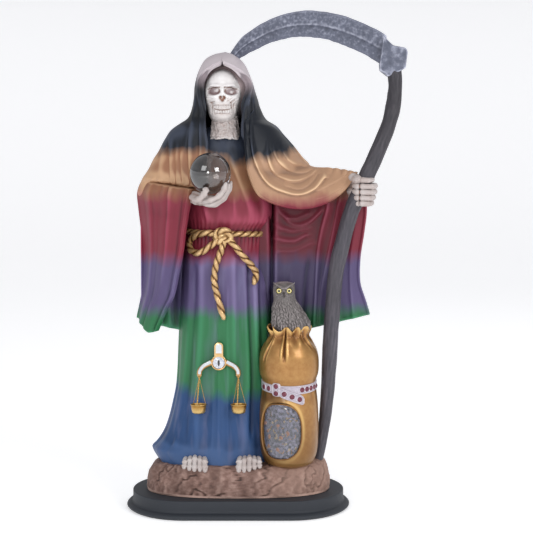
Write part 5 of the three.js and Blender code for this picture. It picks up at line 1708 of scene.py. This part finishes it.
def make_window_frame(form):
    """The thin raised bead round the window."""
    loop_tube(form, lambda turn: on_window(*window_ring(turn, 0.35), 0.1),
              lambda turn: bearing_of(WINDOW_TURN + window_ring(turn)[0] / BELLY),
              size_of("window_bead") * 0.27, 1.1, 260, 24)


def make_window_glass(form):
    """The glass, domed in front and flat behind."""
    dome = [(-0.6 + 1.4 * math.sin(a), math.cos(a) ** 0.9) for a in spread(0, RIGHT_ANGLE - 0.05, 26)]
    window_drum(form, [*((-1.7, share) for share in (0.2, 0.5, 0.8, 0.95, 1)), (-1.2, 1), *dome])


def make_filling(form):
    """The lumpy resin filling behind the glass."""
    crown = [(-2.9 + 0.8 * math.sin(a), math.cos(a)) for a in spread(0, RIGHT_ANGLE - 0.03, 60)]
    window_drum(form, [(FILLING_BACK, 0.5), (FILLING_BACK, 1), *crown], 200, 0.7)


def make_charms(form, kind):
    """Small things set in the filling: grains, seeds or bent threads, scattered from a fixed start."""
    chance = random.Random(kind)
    count, radii = {"threads": (26, None), "grains": (26, (0.9, 0.7, 1.1)), "seeds": (9, (1.5, 0.9, 1.6))}[kind]
    for _ in range(count):
        a, b = chance.uniform(-15, 15), chance.uniform(-19, 19)
        if window_outline(a, b) > 0.8:
            continue
        middle = on_window(a, b, -2.2)
        lean = chance.uniform(0, FULL_TURN)
        if radii:
            egg(form, middle, [r * chance.uniform(0.7, 1.15) for r in radii], 12, 8)
            continue
        reach = chance.uniform(1.0, 2.6)
        way = Vector((math.cos(lean), 0.15, math.sin(lean))) * reach
        bend = Vector((-way.z, -0.3, way.x)) * chance.uniform(-0.5, 0.5)
        limb(form, Course([middle - way, middle + bend, middle + way]), (0.2, 0.2), 8, 12, guide=(0.1, 1, 0.1))


def make_glass_ball(form):
    egg(form, ball_middle(), (size_of("ball") / 2,) * 3, 160, 110)


# Owl.

OWL_MIDDLE = track((146, 43.6), (152, 43.4), (160, 41.5), (168, 39.4), (174, 38), (180, 37.5), (189, 37.5))
OWL_WIDTH = track((146, 13.6), (152, 15.4), (160, 13.6), (168, 11), (173, 8.9), (180, 8.7), (185, 8.3),
                  (186.6, 6.8), (187.4, 3.2))
OWL_DEPTH = track((146, 11), (160, 11.5), (170, 9.5), (175, 8.8), (184, 8.6), (186.4, 6.6), (187.4, 3.2))
OWL_EYES = ((33.4, -28.6, 180.8), (41.6, -28.6, 180.8))


def feathers(turn, z):
    """Fine fuzzy down, combed downwards, over faint rows of larger feathers."""
    x, y = math.cos(turn) * 12, math.sin(turn) * 12
    combed = 0.55 * grain(x, y, z * 0.42, 0.95) + 0.5 * grain(x, y, z * 0.6, 2.1)
    row = z / 3.1 + 0.4 * math.cos(11 * turn)
    return combed - 0.22 * bell(row - math.floor(row) - 0.1, 0.16)


def owl_surface(turn, z):
    facing = max(0, -math.sin(turn))
    chest = 1 + 0.06 * bell(z - 160, 8) * (math.sin(turn) < 0)
    head = ease((z - 171) / 4)
    wing = bell(math.remainder(turn - math.radians(345), FULL_TURN), 0.5)
    wing += bell(math.remainder(turn - math.radians(205), FULL_TURN), 0.42)
    wing *= bell(z - 157, 12)
    out = (1 - 0.55 * head) * feathers(turn, z) + 1.0 * wing - 0.5 * bell(wing - 0.55, 0.12)
    disc = bell(math.hypot(abs(math.cos(turn)) * 8.8 - 4.1, z - 180.8) - 4.2, 0.6)
    brow = bell(z - (182.4 + 0.62 * abs(abs(math.cos(turn)) * 9 - 1)), 1.1) * ease((z - 181) / 3)
    out += head * facing * (0.5 * disc + 1.0 * brow)
    x = OWL_MIDDLE(z) + (OWL_WIDTH(z) + out) * math.cos(turn)
    return x, -21 + (OWL_DEPTH(z) * chest + out) * math.sin(turn), z


def make_owl(form):
    """The perched owl: downy body, brows that sweep out to the low ear tufts, and claws."""
    loft(form, 260, spread(146.5, 187.4, 200), owl_surface)
    for side in (-1, 1):
        brow = Course([(37.5 + side * x, y, z) for x, y, z in
                       ((1.0, -30.2, 182.4), (3.6, -29.6, 184.2), (6.2, -28.4, 185.7), (8.5, -26.6, 187.0))])
        limb(form, brow, (0.9, 0.45), 20, 44,
             carve=lambda turn, share: 1 + 0.12 * math.cos(5 * turn + 14 * share))
        for toe in (-1.5, 0, 1.5):
            x = 42 + side * 4.6 + toe
            claw = Course([(x, -29.4, 153.4), (x + toe * 0.2, -32, 152.6), (x + toe * 0.35, -32.4, 149.4)])
            limb(form, claw, (0.9, 0.5), 14, 22, guide=(1, 0, 0))


def make_owl_eyes(form):
    for middle in OWL_EYES:
        egg(form, middle, (2.5, 1.9, 2.5), 48, 32)


def make_owl_beak(form):
    beak = Course([(37.5, -29, 179.6), (37.5, -31, 177.8), (37.5, -30.4, 175.6)])
    limb(form, beak, (1.1, 0.4), 22, 34, guide=(1, 0, 0))


# Small scales.

JEWEL = (-15, 123)  # its middle, across and up
BEAM = 3.0  # thickness
ARM = ((2, 2.5), (7, -0.5), (12, -3), (15.2, -6.5), (15.7, -10.5))
ENAMEL = ((6.4, 0.8), (8.6, -0.4), (12.4, -2.6), (15.2, -6.4), (15.6, -9.2))
ARM_END = 15.7
EYE = 4.8  # the jewel's radius
EYE_RIM = 1.4


def beam_place(x, z, out):
    """A point of the scales: across and up from the jewel's middle, and out from the beam's back."""
    return Vector((JEWEL[0] + x, face_of(ROBE, *JEWEL) - 1.2 - out, JEWEL[1] + z))


def beam_disc(form, radius, levels):
    """A round part on the jewel's middle through (how far out, share of its radius) levels."""
    loft(form, 96, levels, lambda turn, level: beam_place(radius * level[1] * math.cos(turn),
                                                          -radius * level[1] * math.sin(turn), level[0]))


def flat_arm(form, points, side, half, thick, out, taper):
    """A flat arm of the scales to one side through points, with rounded edges."""
    course = Course([beam_place(side * x, z, out) for x, z in points])
    limb(form, course, (half, half * taper), 40, 90, thick / 2 / half)


def arched(form, low, high, half, back, front):
    """The loop over the scales' ring: an upright plate with an arched top."""
    def ring(turn, level):
        out, share = level
        side, up = math.cos(turn), math.sin(turn)
        if up > 0:
            return beam_place(share * half * side, high - half + share * half * up, out)
        square = max(abs(side), abs(up))
        up *= share * (high - half - low) / square
        return beam_place(share * half * side / square, high - half + up, out)

    loft(form, 72, [(back, 0.3), (back, 1), (front - 0.35, 1), (front - 0.1, 0.97), (front, 0.88), (front, 0.3)],
         ring)


def make_beam(form):
    """The gilt frame of the scales: its arms, loop and ring, with room for the enamel."""
    for side in (-1, 1):
        flat_arm(form, ARM, side, 2.2, BEAM, BEAM / 2, 0.9)
        ring = Course([beam_place(side * (ARM_END + 1.1 * math.cos(a)), -10.7 + 1.3 * math.sin(a), BEAM / 2)
                       for a in spread(0, FULL_TURN, 10)])
        limb(form, ring, (0.42, 0.42), 12, 60)
    arched(form, 3, 16.4, 3.6, 0, BEAM)
    beam_disc(form, EYE + EYE_RIM, [(0, 1), (0, 1), (0.5, 1), (BEAM - 0.5, 1), (BEAM - 0.1, 0.97),
                                    (BEAM + 0.1, 0.9), (BEAM - 0.4, 0.8)])


def make_enamel(form):
    """White enamel let into the arms and the loop."""
    for side in (-1, 1):
        flat_arm(form, ENAMEL, side, 1.35, 0.9, BEAM - 0.05, 0.85)
    arched(form, 7.6, 15.3, 2.4, BEAM - 0.5, BEAM + 0.35)


def make_jewel(form):
    dome = [(0.1 + 1.3 * math.sin(a), math.cos(a)) for a in spread(0.1, RIGHT_ANGLE - 0.04, 22)]
    beam_disc(form, EYE, [(BEAM + out, share) for out, share in ((-1, 0.3), (-1, 1), (0.1, 1), *dome)])


# A pan's section as (height under its rim, share of its radius), from under its middle to over it.
PAN = ((-7.4, 0.12), (-7.5, 0.4), (-7.3, 0.68), (-6.6, 0.8), (-4.2, 0.88), (-2.0, 0.93), (-1.0, 0.95), (-0.7, 1.0),
       (-0.2, 1.0), (0, 0.97), (-0.25, 0.93), (-0.9, 0.89), (-2.4, 0.86), (-5.2, 0.78), (-6.3, 0.6), (-6.4, 0.1))


def make_pan(form, side):
    """A scale pan: a bowl with a rolled rim, hung on three wires from a bead."""
    top = beam_place(side * ARM_END, -11.8, BEAM / 2)
    r = size_of("pan") / 2
    middle = Vector((top.x + side * 0.4, top.y - r * 0.85, top.z - 21))
    up = Vector((0, 0, 1))
    loft(form, 64, PAN, lambda turn, level: middle + bearing_of(turn) * r * level[1] + up * level[0])
    for bearing, thick, twist in ((-100, 0.55, 1), (20, 0.22, 0), (140, 0.22, 0)):
        rim = middle + bearing_of(math.radians(bearing)) * (r - 0.6) - up * 0.6
        limb(form, Course([top, top.lerp(rim, 0.5), rim]), (thick, thick), 10, 70,
             carve=lambda turn, share: 1 + 0.25 * twist * math.cos(2 * turn + 60 * share))
    egg(form, top, (1.1, 1.1, 1.1), 20, 14)


# Operators: each makes one piece, or a group of like pieces.


class FIGURE_OT_robe(bpy.types.Operator):
    """Adds the pleated robe"""

    bl_idname = "figure.robe"
    bl_label = "Robe"

    def execute(self, context):
        finish_piece("robe", make_robe, painted_cloth, (170, 1.6))
        return {"FINISHED"}


class FIGURE_OT_cloak(bpy.types.Operator):
    """Adds the cloak with its hood"""

    bl_idname = "figure.cloak"
    bl_label = "Cloak and hood"

    def execute(self, context):
        finish_piece("cloak", make_cloak, painted_cloth, (120, 1.2))
        return {"FINISHED"}


class FIGURE_OT_sleeves(bpy.types.Operator):
    """Adds the flap over the raised arm and the three sleeves"""

    bl_idname = "figure.sleeves"
    bl_label = "Sleeves"

    def execute(self, context):
        finish_piece("arm_flap", make_flap, painted_flap, (60, 1.2))
        finish_piece("hanging_sleeve", make_hanging_sleeve, painted_drape, (90, 1.2))
        finish_piece("bent_sleeve", make_bent_sleeve, painted_sleeves, (90, 1.2))
        finish_piece("sleeve_lining", make_sleeve_lining, painted_sleeves, (60, 1.2))
        return {"FINISHED"}


class FIGURE_OT_skull(bpy.types.Operator):
    """Adds the skull, the neck under it and the hood's hollow behind them"""

    bl_idname = "figure.skull"
    bl_label = "Skull and neck"

    def execute(self, context):
        finish_piece("skull", make_skull, skull_resin, (60, 1.5))
        finish_piece("hood_lining", make_hood_lining, hood_lining)
        finish_piece("neck", make_neck, neck_resin, (40, 1.1))
        return {"FINISHED"}


class FIGURE_OT_feet(bpy.types.Operator):
    """Adds the bony toes"""

    bl_idname = "figure.feet"
    bl_label = "Feet"

    def execute(self, context):
        finish_piece("feet", make_feet, toe_resin, (24, 0.25))
        return {"FINISHED"}


class FIGURE_OT_hands(bpy.types.Operator):
    """Adds the open hand under the ball and the hand round the shaft"""

    bl_idname = "figure.hands"
    bl_label = "Hands"

    def execute(self, context):
        finish_piece("open_hand", make_open_hand, bone_resin, (30, 0.26))
        finish_piece("closed_hand", make_closed_hand, bone_resin, (30, 0.26))
        return {"FINISHED"}


class FIGURE_OT_scythe(bpy.types.Operator):
    """Adds the scythe: its shaft, its blade and the block between them"""

    bl_idname = "figure.scythe"
    bl_label = "Scythe"

    def execute(self, context):
        for name, build, material in (("scythe_shaft", make_shaft, scythe_charcoal),
                                      ("scythe_socket", make_socket, blade_charcoal),
                                      ("scythe_blade", make_blade, blade_charcoal)):
            finish_piece(name, build, material, (16, 0.35), "scythe")
        return {"FINISHED"}


class FIGURE_OT_girdle(bpy.types.Operator):
    """Adds the rope girdle with its bow and tails"""

    bl_idname = "figure.girdle"
    bl_label = "Rope girdle"

    def execute(self, context):
        finish_piece("girdle", make_girdle, gilt_rope, (12, 0.22))
        return {"FINISHED"}


class FIGURE_OT_base(bpy.types.Operator):
    """Adds the rock and the lacquered plinth"""

    bl_idname = "figure.base"
    bl_label = "Rock and plinth"

    def execute(self, context):
        finish_piece("rock", make_rock, rock_resin, (20, 0.55))
        finish_piece("plinth_body", make_plinth, lacquered_wood, (4, 1), "plinth", 30, 0)
        return {"FINISHED"}


class FIGURE_OT_bag(bpy.types.Operator):
    """Adds the money bag with its strap and window frame"""

    bl_idname = "figure.bag"
    bl_label = "Money bag"

    def execute(self, context):
        finish_piece("bag", make_bag, bag_gold, (60, 0.7))
        finish_piece("bag_strap", make_strap, strap_silver, (8, 0.25))
        finish_piece("window_frame", make_window_frame, bag_gold, (10, 0.5))
        return {"FINISHED"}


class FIGURE_OT_stones(bpy.types.Operator):
    """Adds the red stones of the strap"""

    bl_idname = "figure.stones"
    bl_label = "Red stones"

    def execute(self, context):
        for i, place in enumerate(stone_places(), 1):
            finish_piece(f"stone_{i}", lambda form: make_stone(form, place), red_glass, (2, 0.5),
                         f"bag_stone_{i}", 12)
        return {"FINISHED"}


class FIGURE_OT_window(bpy.types.Operator):
    """Adds the bag's glazed window and what is set behind it"""

    bl_idname = "figure.window"
    bl_label = "Window"

    def execute(self, context):
        finish_piece("window_glass", make_window_glass, window_resin, node_name="relic_window")
        finish_piece("window_filling", make_filling, grey_filling)
        for kind, material in (("threads", gilt_metal), ("grains", amber_grains), ("seeds", orange_seeds)):
            finish_piece(f"window_{kind}", lambda form: make_charms(form, kind), material, (2, 0.5))
        return {"FINISHED"}


class FIGURE_OT_ball(bpy.types.Operator):
    """Adds the glass ball"""

    bl_idname = "figure.ball"
    bl_label = "Glass ball"

    def execute(self, context):
        finish_piece("glass_ball", make_glass_ball, ball_glass, (1, 1), "crystal_ball")
        return {"FINISHED"}


class FIGURE_OT_owl(bpy.types.Operator):
    """Adds the owl"""

    bl_idname = "figure.owl"
    bl_label = "Owl"

    def execute(self, context):
        finish_piece("owl_body", make_owl, owl_feathers, (14, 0.3), "owl")
        finish_piece("owl_eyes", make_owl_eyes, owl_eye, (1, 1), "owl")
        finish_piece("owl_beak", make_owl_beak, horn_beak, (4, 0.5), "owl")
        return {"FINISHED"}


class FIGURE_OT_scales(bpy.types.Operator):
    """Adds the small scales: beam, enamel, jewel and pans"""

    bl_idname = "figure.scales"
    bl_label = "Scales"

    def execute(self, context):
        finish_piece("beam", make_beam, gilt_metal, (6, 0.3), "scale_beam")
        finish_piece("beam_enamel", make_enamel, white_enamel, (4, 0.5), "scale_beam")
        finish_piece("jewel_eye", make_jewel, cat_eye, (1, 1), "scale_jewel")
        for side, name in ((-1, "left"), (1, "right")):
            finish_piece(f"pan_{name}", lambda form: make_pan(form, side), brass_pans, (6, 0.4),
                         f"scale_pan_{name}")
        return {"FINISHED"}


def area_light(name, watts, size, place, aim):
    """A soft square light at a place in metres, turned towards another."""
    data = bpy.data.lights.new(name, "AREA")
    data.energy, data.size = watts, size
    light = bpy.data.objects.new(name, data)
    light.location = place
    light.rotation_euler = (Vector(aim) - Vector(place)).to_track_quat("-Z", "Y").to_euler()
    bpy.context.scene.collection.objects.link(light)


def floor_height(reach):
    """The studio floor rises softly into a low rim far behind whatever stands on it."""
    return 0.9 * ease((reach - 2.4) / 2) ** 1.5


class FIGURE_OT_studio(bpy.types.Operator):
    """Adds the pale floor, the soft lights and the camera"""

    bl_idname = "figure.studio"
    bl_label = "Studio"

    def execute(self, context):
        scene = context.scene
        form = bmesh.new()
        for vertex, across, deep in sheet_of_quads(form, 72, 72):
            vertex.co = (9 * (across - 0.5), 9 * (deep - 0.5), 0)
            vertex.co.z = floor_height(vertex.co.length)
        mesh = bpy.data.meshes.new("floor")
        form.to_mesh(mesh)
        form.free()
        mesh.polygons.foreach_set("use_smooth", [True] * len(mesh.polygons))
        mesh.materials.append(made_once(studio_paint))
        floor = bpy.data.objects.new("floor", mesh)
        scene.collection.objects.link(floor)

        world = bpy.data.worlds.new("studio")
        world.use_nodes = True
        sky = world.node_tree.nodes["Background"]
        sky.inputs["Color"].default_value = (*linear("#fafbff"), 1)
        sky.inputs["Strength"].default_value = 0.52
        scene.world = world
        area_light("key", 4.4, 0.7, (-0.85, -1.15, 1.05), (0, 0, 0.2))
        area_light("fill", 7.8, 0.6, (0.95, -1.1, 0.85), (0, 0, 0.2))
        area_light("rim", 2, 0.8, (0.6, 1.0, 1.2), (0, 0, 0.25))
        area_light("window", 2.0, 0.2, (-0.22, -1.3, 0.42), (0, 0, 0.25))

        lens = bpy.data.cameras.new("camera")
        lens.sensor_width, lens.lens = 36, 103.2
        camera = bpy.data.objects.new("camera", lens)
        camera.location = (0.0234, -1.25, 0.297)
        camera.rotation_euler = (math.radians(90 - 4.51), 0, 0)
        scene.collection.objects.link(camera)
        scene.camera = camera
        scene.view_settings.view_transform = "Standard"
        return {"FINISHED"}


class FIGURE_PT_panel(bpy.types.Panel):
    """Sizes, colours and pieces of the figure"""

    bl_idname = "FIGURE_PT_panel"
    bl_label = "Santa muerte figure"
    bl_space_type = "VIEW_3D"
    bl_region_type = "UI"
    bl_category = "Figure"

    def draw(self, context):
        for group in (context.scene.figure_sizes, context.scene.figure_colours):
            box = self.layout.box()
            for name in group.bl_rna.properties.keys():
                if name not in ("rna_type", "name"):
                    box.prop(group, name)
        for operator in OPERATORS:
            self.layout.operator(operator.bl_idname)


OPERATORS = (
    FIGURE_OT_robe,
    FIGURE_OT_cloak,
    FIGURE_OT_sleeves,
    FIGURE_OT_skull,
    FIGURE_OT_feet,
    FIGURE_OT_hands,
    FIGURE_OT_scythe,
    FIGURE_OT_girdle,
    FIGURE_OT_base,
    FIGURE_OT_bag,
    FIGURE_OT_stones,
    FIGURE_OT_window,
    FIGURE_OT_ball,
    FIGURE_OT_owl,
    FIGURE_OT_scales,
    FIGURE_OT_studio,
)
CLASSES = (FigureSizes, FigureColours, *OPERATORS, FIGURE_PT_panel)


def register():
    for item in CLASSES:
        bpy.utils.register_class(item)
    bpy.types.Scene.figure_sizes = PointerProperty(type=FigureSizes)
    bpy.types.Scene.figure_colours = PointerProperty(type=FigureColours)


def unregister():
    del bpy.types.Scene.figure_colours
    del bpy.types.Scene.figure_sizes
    for item in reversed(CLASSES):
        bpy.utils.unregister_class(item)


def main():
    register()
    for operator in OPERATORS:
        group, name = operator.bl_idname.split(".")
        getattr(getattr(bpy.ops, group), name)()


if __name__ == "__main__":
    main()
